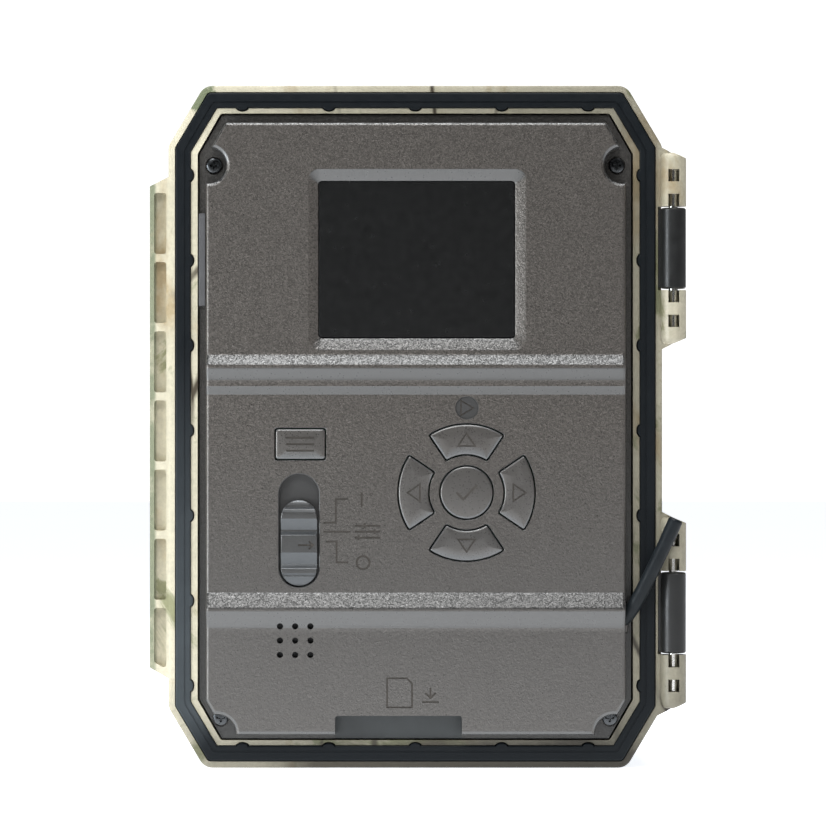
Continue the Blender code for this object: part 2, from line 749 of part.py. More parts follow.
def make_slider():
    """The mode slider, resting at the low end of its track, with cross ribs and a stem down to its switch."""
    z = SLOT_Z - (SLOT_LENGTH - KNOB_LENGTH) / 2 + 0.3 * MM
    top, base = PANEL_TOP_Y - 0.7 * MM, PANEL_IN_Y - GAP
    outline = stadium(SLOT_WIDTH - 0.55 * MM, KNOB_LENGTH, SLOT_X, z, 6)
    knob = plate("mode_slider", [outline], top, base, "key")
    for way in (-1, 1):
        y, valley_z = top - 0.6 * MM, z + way * 4.6 * MM
        ends = (SLOT_X - 6 * MM, y, valley_z), (SLOT_X + 6 * MM, y, valley_z)
        cut(knob, rod(f"knob_valley_{way}", *ends, 1.7 * MM, sides=12))
    stem_z = SLOT_Z - KNOB_TRAVEL / 2
    join(knob, block("slider_stem", (SLOT_X, REAR_Y - 0.7 * MM, stem_z), (2.0 * MM, 4.4 * MM, 3.0 * MM)))
    move_origin(knob, (SLOT_X, PANEL_TOP_Y, z))


def make_display():
    front = PANEL_TOP_Y + WINDOW_DEPTH + 0.05 * MM
    glass = (WINDOW_WIDTH - 0.5 * MM, 1.0 * MM, WINDOW_HEIGHT - 0.5 * MM)
    block("display_window", (WINDOW_X, front + 0.5 * MM, WINDOW_Z), glass, "screen")
    block("lcd_module", (WINDOW_X, REAR_Y - 0.35 * MM, WINDOW_Z), (50 * MM, 2.6 * MM, 39 * MM), "chip")
    profile = [(-18.1, 90.5), (-17.8, 90.5), (-17.8, 86.2), (-16.0, 84.4), (-16.3, 84.2), (-18.1, 86.0)]
    extrude_x("lcd_ribbon", [(y * MM, z * MM) for y, z in profile], -9 * MM, 9 * MM, "amber")


def make_screws():
    head_y = FLANGE_TOP_Y + 0.7 * MM - GAP / 2
    for name, (x, z) in screw_places().items():
        head = along_y("panel_screw_" + name, x, z, head_y - 1.2 * MM, head_y, 1.7 * MM, "steel")
        join(head, along_y("shank_" + name, x, z, head_y - 0.5 * MM, head_y + 9 * MM, 0.95 * MM, sides=8))
    for name, (x, z) in board_post_places().items():
        back = BOARD_Y + BOARD_THICK + GAP
        head = along_y("board_screw_" + name, x, z, back, back + 1.1 * MM, 1.5 * MM, "steel", sides=12)
        ends = BOARD_Y - 2.4 * MM, back + 0.4 * MM
        join(head, along_y("board_shank_" + name, x, z, *ends, 0.7 * MM, sides=8))


# ---------------------------------------------------------------- boards behind the panel


def board_post_places():
    return {
        "top_left": (-36 * MM, 126 * MM),
        "top_right": (36 * MM, 126 * MM),
        "low_left": (-36 * MM, 20 * MM),
        "low_right": (36 * MM, 20 * MM),
    }


def make_boards():
    layer = BOARD_Y, BOARD_Y + BOARD_THICK
    board = box("main_board", (-39 * MM, 39 * MM), layer, (15 * MM, 133 * MM), "board")
    for name, (x, z) in board_post_places().items():
        ends = BOARD_Y - OVERLAP, BOARD_Y + 3 * MM
        cut(board, along_y("board_hole_" + name, x, z, *ends, 1.1 * MM, sides=8))
    on_board = BOARD_Y - GAP
    for name, (x, z) in key_middles().items():
        switch = block("key_switch_" + name, (x, on_board - 1.5 * MM, z), (6 * MM, 3.0 * MM, 6 * MM), "chip")
        ends = REAR_Y - 0.7 * MM, on_board - 1 * MM
        join(switch, along_y("plunger_" + name, x, z, *ends, 1.6 * MM, sides=12))
    slide = block("slide_switch", (SLOT_X, on_board - 1.9 * MM, SLOT_Z), (7 * MM, 3.8 * MM, 14 * MM), "steel")
    slit = block("slide_switch_slit", (SLOT_X, on_board - 3.4 * MM, SLOT_Z), (2.8 * MM, 4 * MM, SLIT_LENGTH))
    cut(slide, slit)
    behind = BOARD_Y + BOARD_THICK + GAP
    block("processor", (6 * MM, behind + 0.7 * MM, 62 * MM), (17 * MM, 1.4 * MM, 17 * MM), "chip")
    along_y("clock_cell", -24 * MM, 100 * MM, behind, behind + 3.2 * MM, 6.2 * MM, "steel", sides=24)
    layer = REAR_Y + 0.9 * MM, REAR_Y + 1.9 * MM
    box("card_board", (-17.5 * MM, 10.2 * MM), layer, (13.2 * MM, 42 * MM), "board")
    layer = REAR_Y - 2.1 * MM, REAR_Y + 0.6 * MM
    socket = box("card_socket", (-17.0 * MM, 9.7 * MM), layer, (13.2 * MM, 40 * MM), "steel")
    cut(socket, box("card_bay", CARD_SLIT_X, (REAR_Y - 1.7 * MM, REAR_Y + 0.2 * MM), (12 * MM, 38 * MM)))
    along_y("speaker", *SPEAKER, PANEL_IN_Y + GAP, REAR_Y + 1.2 * MM, 7.4 * MM, "black", sides=24)
    block("lead_header", (33.0 * MM, REAR_Y + 0.6 * MM, 29.8 * MM), (3.2 * MM, 4.8 * MM, 5.6 * MM), "dome")


# ---------------------------------------------------------------- hinges and side pad


def make_hinges():
    half = SLEEVE_LENGTH / 2
    reach = half + GAP + BLOCK_LENGTH - 0.6 * MM
    for name, middle in hinge_centres().items():
        rod("hinge_pin_" + name, *hinge_line(middle - reach, middle + reach), PIN_RADIUS, "steel", sides=12)
        low, high = middle - half, middle + half
        sleeve = rod("hinge_sleeve_" + name, *hinge_line(low, high), SLEEVE_RADIUS, "black", sides=24)
        heel = box(
            "heel_" + name,
            (HINGE_X - 3.0 * MM, HINGE_X - 1.8 * MM),
            (REAR_Y, REAR_Y + 0.9 * MM),
            (low, high),
        )
        bore = rod("sleeve_bore_" + name, *hinge_line(low - OVERLAP, high + OVERLAP), PIN_BORE)
        join(sleeve, heel)
        cut(sleeve, bore)
        smooth(sleeve)
        move_origin(sleeve, (HINGE_X, REAR_Y, middle))


def make_side_pad():
    edge = -CASE_WIDTH / 2 + FLANGE_INSET
    x = (edge + 0.1 * MM, edge + 1.05 * MM)
    box("side_pad", x, (FLANGE_TOP_Y - 0.9 * MM, FLANGE_TOP_Y - GAP), (100.5 * MM, 120.6 * MM), "foam")


# ---------------------------------------------------------------- power lead


def smooth_route(points, count):
    """A Catmull-Rom curve through the route, read at evenly spaced steps."""
    knots = [Vector(p) for p in points]
    knots = [2 * knots[0] - knots[1], *knots, 2 * knots[-1] - knots[-2]]
    spans = len(knots) - 3
    out = []
    for i in range(count):
        place_on = spans * i / (count - 1)
        k = min(int(place_on), spans - 1)
        t = place_on - k
        a, b, c, d = knots[k : k + 4]
        out.append(
            0.5 * (2 * b + (c - a) * t + (2 * a - 5 * b + 4 * c - d) * t**2 + (3 * b - a - 3 * c + d) * t**3)
        )
    return out


def make_lead():
    route = smooth_route([Vector(p) * MM for p in LEAD_ROUTE], 40)
    tip = route[-1]
    shown = [p for p in route if (p - tip).length > CONNECTOR_LENGTH + GAP]
    curve = bpy.data.curves.new("power_lead", "CURVE")
    curve.dimensions = "3D"
    curve.bevel_depth = LEAD_RADIUS
    curve.bevel_resolution = 2
    curve.use_fill_caps = True
    spline = curve.splines.new("POLY")
    chosen = shown[::3] + [shown[-1]] if (len(shown) - 1) % 3 else shown[::3]
    spline.points.add(len(chosen) - 1)
    for point, place_at in zip(spline.points, chosen):
        point.co = (*place_at, 1)
    lead = bpy.data.objects.new("power_lead", curve)
    CAMERA.objects.link(lead)
    curve.materials.append(material("black"))

    way = (chosen[-1] - chosen[-2]).normalized()
    start = chosen[-1] + way * GAP
    rod("lead_connector", start, start + way * CONNECTOR_LENGTH, CONNECTOR_RADIUS, "black")

    y, z = (REAR_Y - 2.4 * MM, REAR_Y + 1.9 * MM), (LEAD_MOUTH_Z[0] + GAP, LEAD_MOUTH_Z[1] - GAP)
    saddle = box("lead_saddle", (44.2 * MM, 46.0 * MM), y, z, "black")
    points = [Vector(p) * MM for p in LEAD_ROUTE]
    for k in (3, 4, 5):
        cut(saddle, rod(f"saddle_groove_{k}", points[k - 1], points[k + 1], LEAD_RADIUS + GAP, sides=12))


# ---------------------------------------------------------------- front of the camera


def face_outline(trim):
    """The black front plate: a tall rectangle with cut corners."""
    w, h = PLATE_WIDTH / 2 - trim, PLATE_HEIGHT / 2 - trim
    a, b = 6 * MM, 10 * MM
    quarter = [(w, h - b), (w - a, h)]
    right = [(x, -z) for x, z in reversed(quarter)] + quarter
    return [(x, z + MID_Z) for x, z in right + [(-x, z) for x, z in reversed(right)]]


def make_front():
    plate_y = FRONT_Y + 0.9 * MM
    face = plate("face_plate", [face_outline(GAP)], FRONT_Y - 1.3 * MM, plate_y, "black")
    soften(face, plate_y, 0.8 * MM)
    window_cut = block("window_cut", (0, FRONT_Y, IR_Z), (50 * MM, 8 * MM, 26 * MM))
    ring_cut = along_y("ring_cut", 0, LENS_Z, FRONT_Y - 4 * MM, FRONT_Y + 4 * MM, 12.6 * MM, sides=32)
    dome_cut = along_y("dome_cut", 0, PIR_Z, FRONT_Y - 4 * MM, FRONT_Y + 4 * MM, 13.0 * MM, sides=32)
    cut(face, window_cut, ring_cut, dome_cut)
    for name, x in EYES.items():
        cut(face, along_y(name + "_cut", x, LENS_Z, FRONT_Y - 4 * MM, FRONT_Y + 4 * MM, 2.2 * MM, sides=12))
    block("ir_window", (0, FRONT_Y - 0.35 * MM, IR_Z), (49.4 * MM, 1.9 * MM, 25.4 * MM), "smoked")
    lights = block("ir_led_board", (0, FRONT_Y - 9.2 * MM, IR_Z), (44 * MM, 1.4 * MM, 20 * MM), "board")
    for column in range(6):
        for row in range(3):
            x, z = (column - 2.5) * 7.2 * MM, IR_Z + (row - 1) * 6.6 * MM
            ends = (x, FRONT_Y - 8.8 * MM, z), (x, FRONT_Y - 3.6 * MM, z)
            join(lights, rod(f"led_{column}_{row}", *ends, 1.5 * MM, sides=8, radius_end=1.1 * MM))
    f = FRONT_Y
    ring = [(12.3, 1.4), (12.3, -1.3), (8.3, -1.3), (8.3, 1.0), (9.6, 3.4), (11.2, 3.4)]
    turned("lens_ring", [(r * MM, f + y * MM) for r, y in ring], 0, LENS_Z, "black", closed=True)
    glass = [(0, 0.6), (4.0, 0.5), (8.0, -0.2), (8.0, -1.2), (0, -1.2)]
    turned("lens_glass", [(r * MM, f + y * MM) for r, y in glass], 0, LENS_Z, "glass", steps=24)
    barrel = [(0, -1.9), (6.6, -1.6), (6.6, -15), (0, -15)]
    turned("lens_barrel", [(r * MM, f + y * MM) for r, y in barrel], 0, LENS_Z, "black", steps=24)
    holder = block("lens_holder", (0, f - 18.6 * MM, LENS_Z), (20 * MM, 6.4 * MM, 20 * MM), "black")
    cut(holder, block("filter_bay", (1.5 * MM, f - 17.9 * MM, LENS_Z), (18.5 * MM, 1.9 * MM, 9.6 * MM)))
    cut(holder, along_y("sensor_bay", 0, LENS_Z, f - 23 * MM, f - 14 * MM, 4.6 * MM))
    pane = block("ir_cut_filter", (3.4 * MM, f - 17.9 * MM, LENS_Z), (13.6 * MM, 1.0 * MM, 8.8 * MM), "glass")
    move_origin(pane, (3.4 * MM, f - 17.9 * MM, LENS_Z))
    block("image_sensor", (0, f - 21.1 * MM, LENS_Z), (5.8 * MM, 1.0 * MM, 5.8 * MM), "chip")
    block("sensor_board", (0, f - 22.8 * MM, LENS_Z), (26 * MM, 1.4 * MM, 26 * MM), "board")
    outside = [(0, 6.6), (5.5, 5.4), (9.8, 2.4), (12.5, -0.6), (12.5, -2.9), (14.6, -2.9), (14.6, -4.2)]
    inside = [(11.4, -4.2), (11.4, -0.9), (8.8, 1.7), (4.9, 4.3), (0, 5.4)]
    turned("pir_dome", [(r * MM, f + y * MM) for r, y in outside + inside], 0, PIR_Z, "dome", steps=32)
    can = along_y("pir_sensor", 0, PIR_Z, f - 12 * MM, f - 8 * MM, 4.5 * MM, "steel")
    join(can, along_y("pir_can_foot", 0, PIR_Z, f - 12.2 * MM, f - 11.4 * MM, 5.0 * MM))
    block("pir_board", (0, f - 13.3 * MM, PIR_Z), (24 * MM, 1.4 * MM, 20 * MM), "board")
    bulb = [(0, 0.7), (1.2, 0.5), (1.8, -0.1), (1.8, -3.6), (0, -3.6)]
    for name, x in EYES.items():
        turned(name, [(r * MM, f + y * MM) for r, y in bulb], x, LENS_Z, "smoked", steps=12)
    insert = rod("tripod_insert", (0, TRIPOD_Y, 0.3 * MM), (0, TRIPOD_Y, 9.6 * MM), 4.7 * MM, "brass")
    cut(insert, rod("tripod_bore", (0, TRIPOD_Y, -OVERLAP), (0, TRIPOD_Y, 12 * MM), TRIPOD_BORE))


make_case()
make_seal()
make_panel()
make_display()
make_keys()
make_slider()
make_screws()
make_boards()
make_hinges()
make_side_pad()
make_lead()
make_front()
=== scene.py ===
"""The looks of the trail camera: fine meshes over the frame, procedural materials, light and camera."""

import json
import math

import bmesh
import bpy
from mathutils import Matrix, Vector

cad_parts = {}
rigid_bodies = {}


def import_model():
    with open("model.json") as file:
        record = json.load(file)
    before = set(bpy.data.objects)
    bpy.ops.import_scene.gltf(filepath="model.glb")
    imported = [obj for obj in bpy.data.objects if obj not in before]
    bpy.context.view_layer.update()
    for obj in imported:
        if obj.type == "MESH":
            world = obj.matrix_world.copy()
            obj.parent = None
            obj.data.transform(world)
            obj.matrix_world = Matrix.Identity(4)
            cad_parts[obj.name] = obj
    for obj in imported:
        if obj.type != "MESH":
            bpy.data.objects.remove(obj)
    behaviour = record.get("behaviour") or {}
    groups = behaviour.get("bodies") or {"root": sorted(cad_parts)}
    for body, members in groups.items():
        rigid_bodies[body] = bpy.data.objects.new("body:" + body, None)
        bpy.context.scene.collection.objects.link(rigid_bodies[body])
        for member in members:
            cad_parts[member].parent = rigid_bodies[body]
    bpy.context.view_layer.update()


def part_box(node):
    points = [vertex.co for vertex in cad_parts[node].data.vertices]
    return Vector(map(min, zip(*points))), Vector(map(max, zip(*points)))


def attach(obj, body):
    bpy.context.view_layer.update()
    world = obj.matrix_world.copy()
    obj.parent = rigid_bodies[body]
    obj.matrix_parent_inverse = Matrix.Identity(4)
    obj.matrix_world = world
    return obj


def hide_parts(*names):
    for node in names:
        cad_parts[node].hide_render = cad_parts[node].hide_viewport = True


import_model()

MM = 0.001
GAP = 0.3 * MM
OVERLAP = 1.0 * MM


# ---------------------------------------------------------------- sizes, from the frame where it states them


def middle(node):
    low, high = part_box(node)
    return (Vector(low) + Vector(high)) / 2


CASE_LOW, CASE_HIGH = (Vector(c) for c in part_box("front_case"))
CASE_WIDTH = 107.4 * MM
CASE_HEIGHT = CASE_HIGH.z - CASE_LOW.z
MID_Z = CASE_HEIGHT / 2
CORNER_X, CORNER_Z, CORNER_RADIUS = 7.8 * MM, 13.1 * MM, 3.2 * MM
WALL, RIM_DEPTH = 2.6 * MM, 6.0 * MM

SEAL_OUTER, SEAL_INNER = 1.5 * MM, 4.95 * MM
LIP_INNER, FLANGE_INSET, PLATEAU_INSET = 6.35 * MM, 6.75 * MM, 8.2 * MM
LIP_RISE, FLANGE_RISE, PLATEAU_DROP, PLATEAU_RISE = 6.05 * MM, 6.4 * MM, 0.38 * MM, 7.85 * MM
GROOVE_DEPTH, SEAL_PROUD = 2.6 * MM, 0.5 * MM
NIB_RADIUS, NIB_PITCH, NIB_MID_Z = 1.2 * MM, 18.5 * MM, 73.4 * MM

HINGE_X = middle("hinge_pin_upper").x
HINGES = {name: middle("hinge_pin_" + name).z for name in ("upper", "lower")}
REAR_Y = middle("hinge_pin_upper").y
KNUCKLE_RADIUS, BLOCK_LENGTH, SLEEVE_LENGTH = 2.8 * MM, 11.6 * MM, 17.6 * MM
PIN_BORE, KNUCKLE_SLOT, KNUCKLE_PITCH, WEB_SLANT = 1.2 * MM, 2.7 * MM, 5.35 * MM, 1.8 * MM

FLANGE_TOP_Y, FLANGE_THICK = REAR_Y + 0.8 * MM, 1.8 * MM
PANEL_TOP_Y = REAR_Y - 4.0 * MM
PANEL_IN_Y = PANEL_TOP_Y + 1.6 * MM

LENS_Z, PIR_Z, IR_Z = middle("lens_ring").z, middle("pir_dome").z, middle("ir_window").z
EYE_X = 18 * MM


# ---------------------------------------------------------------- outlines, as (x, z) points


def octagon(inset, rise=None):
    """The case's outline moved in by inset; rise is the inset of the top and bottom where it differs."""
    lean = math.atan2(CORNER_X, CORNER_Z)
    half = CASE_WIDTH / 2 - inset
    rise = inset if rise is None else rise
    high = CASE_HEIGHT / 2 - rise
    side = high - CORNER_Z + rise - inset * math.tan(lean / 2)
    top = half - CORNER_X + inset - inset * math.tan((math.pi / 2 - lean) / 2)
    quarter = [(half, side), (top, high)]
    right = [(x, -z) for x, z in reversed(quarter)] + quarter
    left = [(-x, z) for x, z in reversed(right)]
    return [(x, z + MID_Z) for x, z in right + left]


def rectangle(width, height, x=0.0, z=0.0):
    w, h = width / 2, height / 2
    return [(x + w, z - h), (x + w, z + h), (x - w, z + h), (x - w, z - h)]


def arc(centre, radius, start, end, steps):
    return [
        (
            centre[0] + radius * math.cos(start + (end - start) * i / steps),
            centre[1] + radius * math.sin(start + (end - start) * i / steps),
        )
        for i in range(steps + 1)
    ]


def ring(centre, radius, steps=48):
    return arc(centre, radius, 0, 2 * math.pi * (steps - 1) / steps, steps - 1)


def rounded(points, radius, steps=6, keep=180):
    """The polygon with arcs for corners, apart from corners that are flatter than keep degrees."""
    out = []
    count = len(points)
    for i, corner in enumerate(points):
        here, last, following = Vector(corner), Vector(points[i - 1]), Vector(points[(i + 1) % count])
        before, after = (last - here).normalized(), (following - here).normalized()
        if before.angle(after) > math.radians(keep):
            out.append(corner)
            continue
        half = before.angle(after) / 2
        reach = min(radius / math.tan(half), (last - here).length * 0.95, (following - here).length * 0.95)
        centre = here + (before + after).normalized() * reach * math.tan(half) / math.sin(half)
        first = here + before * reach - centre
        sweep = first.angle_signed(here + after * reach - centre)
        for k in range(steps + 1):
            out.append(tuple(centre + Matrix.Rotation(-sweep * k / steps, 2) @ first))
    return out


def stadium(width, length, x, z, steps=16):
    radius = width / 2
    reach = length / 2 - radius
    return arc((x, z + reach), radius, 0, math.pi, steps) + arc(
        (x, z - reach), radius, math.pi, 2 * math.pi, steps
    )


# ---------------------------------------------------------------- meshes


def new_mesh(name, bm):
    bmesh.ops.recalc_face_normals(bm, faces=bm.faces)
    mesh = bpy.data.meshes.new(name)
    bm.to_mesh(mesh)
    bm.free()
    obj = bpy.data.objects.new(name, mesh)
    bpy.context.scene.collection.objects.link(obj)
    return obj


def skin(name, rows, loop=False):
    """A closed solid through rows of points; a row may be a single point.

    With loop the last row meets the first, and otherwise the two end rows are closed with a face.
    """
    bm = bmesh.new()
    rows = [[bm.verts.new(point) for point in row] for row in rows]
    pairs = list(zip(rows, rows[1:])) + ([(rows[-1], rows[0])] if loop else [])
    for before, after in pairs:
        count = max(len(before), len(after))
        for i in range(count):
            j = (i + 1) % count
            corners = [row[k % len(row)] for row, k in ((before, i), (before, j), (after, j), (after, i))]
            corners = list(dict.fromkeys(corners))
            if len(corners) > 2:
                bm.faces.new(corners)
    for row in () if loop else (rows[0], rows[-1]):
        if len(row) > 2:
            bm.faces.new(row)
    return new_mesh(name, bm)


def loft(name, rings):
    """A closed solid through rings of equal point counts, each given as (outline, y)."""
    return skin(name, [[(x, y, z) for x, z in outline] for outline, y in rings])


def slab(name, outline, y_near, y_far):
    return loft(name, [(outline, y_near), (outline, y_far)])


def band(name, sections):
    """A closed ring with a section: each entry is (outline, y), and the last joins the first."""
    return skin(name, [[(x, y, z) for x, z in outline] for outline, y in sections], loop=True)


def box(name, x, y, z):
    return slab(name, [(x[0], z[0]), (x[1], z[0]), (x[1], z[1]), (x[0], z[1])], *y)


def rod(name, start, end, radius, sides=32):
    start, end = Vector(start), Vector(end)
    bm = bmesh.new()
    size = {"radius1": radius, "radius2": radius, "depth": (end - start).length}
    bmesh.ops.create_cone(bm, cap_ends=True, segments=sides, **size)
    turn = Vector((0, 0, 1)).rotation_difference(end - start).to_matrix().to_4x4()
    bm.transform(Matrix.Translation((start + end) / 2) @ turn)
    return new_mesh(name, bm)


def along_y(name, x, z, y_near, y_far, radius, sides=32):
    return rod(name, (x, y_near, z), (x, y_far, z), radius, sides)


def turned(name, profile, x, z, steps=64, loop=False):
    """A turned solid on an axis along +Y; its profile of (radius, y) ends on the axis or is a loop."""
    rows = []
    for radius, y in profile:
        angles = [2 * math.pi * k / steps for k in range(steps if radius > 0 else 1)]
        rows.append([(x + radius * math.cos(a), y, z + radius * math.sin(a)) for a in angles])
    return skin(name, rows, loop)


def bar_x(name, profile, x_low, x_high):
    """A bar along X with one (y, z) section."""
    return skin(name, [[(x, y, z) for y, z in profile] for x in (x_low, x_high)])


def pane(name, low, high, radius, levels, steps=6):
    """A rounded plate over a node's box, drawn in by a trim at each (trim, y) level."""
    x, z = (low[0] + high[0]) / 2, (low[2] + high[2]) / 2
    wide, tall = high[0] - low[0], high[2] - low[2]
    return loft(name, [(rounded(rectangle(wide - t, tall - t, x, z), radius, steps), y) for t, y in levels])


def boolean(target, tool, operation):
    """Applies a Boolean at once and removes the tool."""
    modifier = target.modifiers.new("shape", "BOOLEAN")
    modifier.operation = operation
    modifier.object = tool
    modifier.solver = "EXACT"
    modifier.material_mode = "TRANSFER"
    bake(target)
    bpy.data.objects.remove(tool, do_unlink=True)
    return target


def bake(obj):
    graph = bpy.context.evaluated_depsgraph_get()
    mesh = bpy.data.meshes.new_from_object(obj.evaluated_get(graph))
    obj.modifiers.clear()
    obj.data = mesh


def cut(target, *tools):
    for tool in tools:
        boolean(target, tool, "DIFFERENCE")
    return target


def join(target, *tools):
    for tool in tools:
        boolean(target, tool, "UNION")
    return target


def bevel(obj, width, segments=2, angle=50, clamp=False):
    modifier = obj.modifiers.new("edges", "BEVEL")
    modifier.width = width
    modifier.segments = segments
    modifier.limit_method = "ANGLE"
    modifier.angle_limit = math.radians(angle)
    modifier.use_clamp_overlap = clamp
    modifier.miter_outer = "MITER_ARC"
    bake(obj)
    return obj


def smooth(obj, angle=32):
    obj.data.shade_smooth()
    obj.data.set_sharp_from_angle(angle=math.radians(angle))
    return obj


def finish(obj, material, body, slot, *nodes, angle=32):
    """Gives a piece its material and body, and hides the nodes that it stands for. The slot argument is not
    used.
    """
    smooth(obj, angle)
    if len(obj.data.materials) == 0:
        obj.data.materials.append(material)
    obj.data.materials[0] = material
    even = obj.modifiers.new("even_shading", "WEIGHTED_NORMAL")
    even.keep_sharp = True
    even.weight = 90
    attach(obj, body)
    if nodes:
        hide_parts(*nodes)
    return obj


# ---------------------------------------------------------------- material nodes


RANGE_SOCKETS = ("From Min", "From Max", "To Min", "To Max")


class Paint:
    """A material with short ways to add nodes to it."""

    def __init__(self, name, colour, roughness, metallic=0.0, **sockets):
        self.material = bpy.data.materials.new(name)
        self.material.use_nodes = True
        self.tree = self.material.node_tree
        self.shader = self.tree.nodes["Principled BSDF"]
        self.set("Base Color", (*colour, 1))
        self.set("Roughness", roughness)
        self.set("Metallic", metallic)
        for socket, value in sockets.items():
            self.set(socket.replace("_", " "), value)
        self.place = self.node("ShaderNodeTexCoord").outputs["Object"]

    def node(self, kind, **settings):
        made = self.tree.nodes.new(kind)
        for key, value in settings.items():
            setattr(made, key, value)
        return made

    def set(self, socket, value):
        self.shader.inputs[socket].default_value = value

    def link(self, source, target):
        self.tree.links.new(source, target)

    def use(self, socket, source):
        self.link(source, self.shader.inputs[socket])

    def split(self, source, kind="ShaderNodeSeparateXYZ"):
        made = self.node(kind)
        self.link(source, made.inputs[0])
        return made.outputs

    def stretched(self, scale, offset=(0, 0, 0)):
        mapping = self.node("ShaderNodeMapping")
        mapping.inputs["Scale"].default_value = scale
        mapping.inputs["Location"].default_value = offset
        self.link(self.place, mapping.inputs["Vector"])
        return mapping.outputs["Vector"]

    def noise(self, scale, detail=2.0, roughness=0.5, distortion=0.0, place=None):
        made = self.node("ShaderNodeTexNoise")
        made.inputs["Scale"].default_value = scale
        made.inputs["Detail"].default_value = detail
        made.inputs["Roughness"].default_value = roughness
        made.inputs["Distortion"].default_value = distortion
        self.link(place or self.place, made.inputs["Vector"])
        return made.outputs["Fac"]

    def cells(self, scale, feature="F1", output="Color", place=None):
        made = self.node("ShaderNodeTexVoronoi", feature=feature)
        made.inputs["Scale"].default_value = scale
        self.link(place or self.place, made.inputs["Vector"])
        return made.outputs[output]

    def range(self, source, low, high, to_low=0.0, to_high=1.0):
        made = self.node("ShaderNodeMapRange")
        made.clamp = True
        self.link(source, made.inputs["Value"])
        for socket, value in zip(RANGE_SOCKETS, (low, high, to_low, to_high)):
            made.inputs[socket].default_value = value
        return made.outputs["Result"]

    def math(self, operation, a, b):
        made = self.node("ShaderNodeMath", operation=operation)
        for socket, value in zip(made.inputs, (a, b)):
            if isinstance(value, float):
                socket.default_value = value
            else:
                self.link(value, socket)
        return made.outputs[0]

    def product(self, first, *others):
        for other in others:
            first = self.math("MULTIPLY", first, other)
        return first

    def mix(self, factor, a, b, blend="MIX"):
        made = self.node("ShaderNodeMix", data_type="RGBA", blend_type=blend)
        for socket, value in ((made.inputs[0], factor), (made.inputs[6], a), (made.inputs[7], b)):
            if isinstance(value, tuple):
                socket.default_value = (*value, 1)
            elif isinstance(value, float):
                socket.default_value = value
            else:
                self.link(value, socket)
        return made.outputs[2]

    def bump(self, height, strength, distance):
        made = self.node("ShaderNodeBump")
        made.inputs["Strength"].default_value = strength
        made.inputs["Distance"].default_value = distance
        self.link(height, made.inputs["Height"])
        self.use("Normal", made.outputs["Normal"])


def camouflage():
    """Cream paint with sand, olive and bark drawing, greener on the wing's edge and at one corner; painted
    shade darkens it towards the right and along the bottom, and painted light lifts the hinge side.
    """
    paint = Paint("camouflage", (0.6, 0.56, 0.43), 0.42, Specular_IOR_Level=0.45)
    cream, dim_cream, sand = (0.64, 0.595, 0.455), (0.52, 0.485, 0.36), (0.43, 0.345, 0.21)
    olive, bark, low_brown = (0.225, 0.235, 0.115), (0.07, 0.055, 0.035), (0.15, 0.13, 0.09)
    moss_green, worn_green = (0.17, 0.195, 0.115), (0.235, 0.255, 0.17)
    x, _, z = paint.split(paint.place)
    colour = paint.mix(paint.range(paint.noise(70, 4, 0.6, 0.4), 0.35, 0.7), cream, dim_cream)
    tan_place = paint.stretched((1, 1, 0.6), (3, 1, 0))
    tan = paint.range(paint.noise(48, 5, 0.62, 0.8, tan_place), 0.56, 0.66)
    colour = paint.mix(tan, colour, sand)
    leaf_place = paint.stretched((1, 1, 0.8), (0, 5, 2))
    leaf = paint.range(paint.noise(42, 6, 0.66, 1.2, leaf_place), 0.57, 0.63, 0, 0.85)
    colour = paint.mix(leaf, colour, olive)
    twig_place = paint.stretched((1.6, 1.6, 0.7), (0.3, 0, 0.1))
    twigs = paint.range(paint.cells(34, "DISTANCE_TO_EDGE", "Distance", twig_place), 0.008, 0.03, 1, 0)
    some = paint.range(paint.noise(26, 2, 0.5, 0.0, paint.stretched((1, 1, 1), (9, 2, 4))), 0.56, 0.62)
    off_wing = paint.range(x, -0.054, -0.05)
    colour = paint.mix(paint.product(twigs, some, off_wing), colour, bark)
    # A darker brown patch towards the bottom, right of x = -34 mm.
    patch = paint.math("ADD", paint.range(z, 0.002, 0.014, 0.3, -0.4), paint.noise(40, 3, 0.6))
    patch = paint.product(paint.range(patch, 0.55, 0.75), paint.range(x, -0.034, -0.022))
    colour = paint.mix(patch, colour, low_brown)
    corner = paint.node("ShaderNodeVectorMath", operation="DISTANCE")
    paint.link(paint.place, corner.inputs[0])
    corner.inputs[1].default_value = (-0.0475, -0.019, 0.1465)
    near_corner = paint.range(corner.outputs["Value"], 0.001, 0.009, 0.3, -0.3)
    moss = paint.math("ADD", near_corner, paint.noise(240, 4, 0.65))
    colour = paint.mix(paint.range(moss, 0.5, 0.62), colour, moss_green)
    # Green wear along the wing's outer edge.
    wing_edge = paint.range(x, -0.0568, -0.0562, 1, 0)
    wear_and_sheen = paint.product(wing_edge, paint.range(paint.noise(120, 4, 0.65), 0.22, 0.5))
    colour = paint.mix(wear_and_sheen, colour, worn_green)
    # Painted shade: darker towards the right and along the bottom edge; painted light lifts the hinge side
    # again. The fine noise is random speckle.
    hinge_painted_light = paint.product(paint.range(x, 0.0525, 0.0545, 0.0, 0.75), paint.range(z, 0.03, 0.1))
    painted_shade_and_speckle = paint.product(
        paint.range(x, -0.05, 0.053, 0.97, 0.42),
        paint.math("ADD", hinge_painted_light, 1.0),
        paint.range(z, 0.004, 0.02, 0.5, 1.0),
        paint.range(paint.noise(900, 3, 0.7), 0.3, 0.7, 0.86, 1.06),
    )
    paint.use("Base Color", paint.mix(1.0, colour, painted_shade_and_speckle, "MULTIPLY"))
    paint.use("Roughness", paint.range(paint.noise(300, 3), 0.3, 0.7, 0.36, 0.52))
    paint.bump(paint.noise(2600, 3, 0.6), 0.25, 0.00006)
    return paint.material


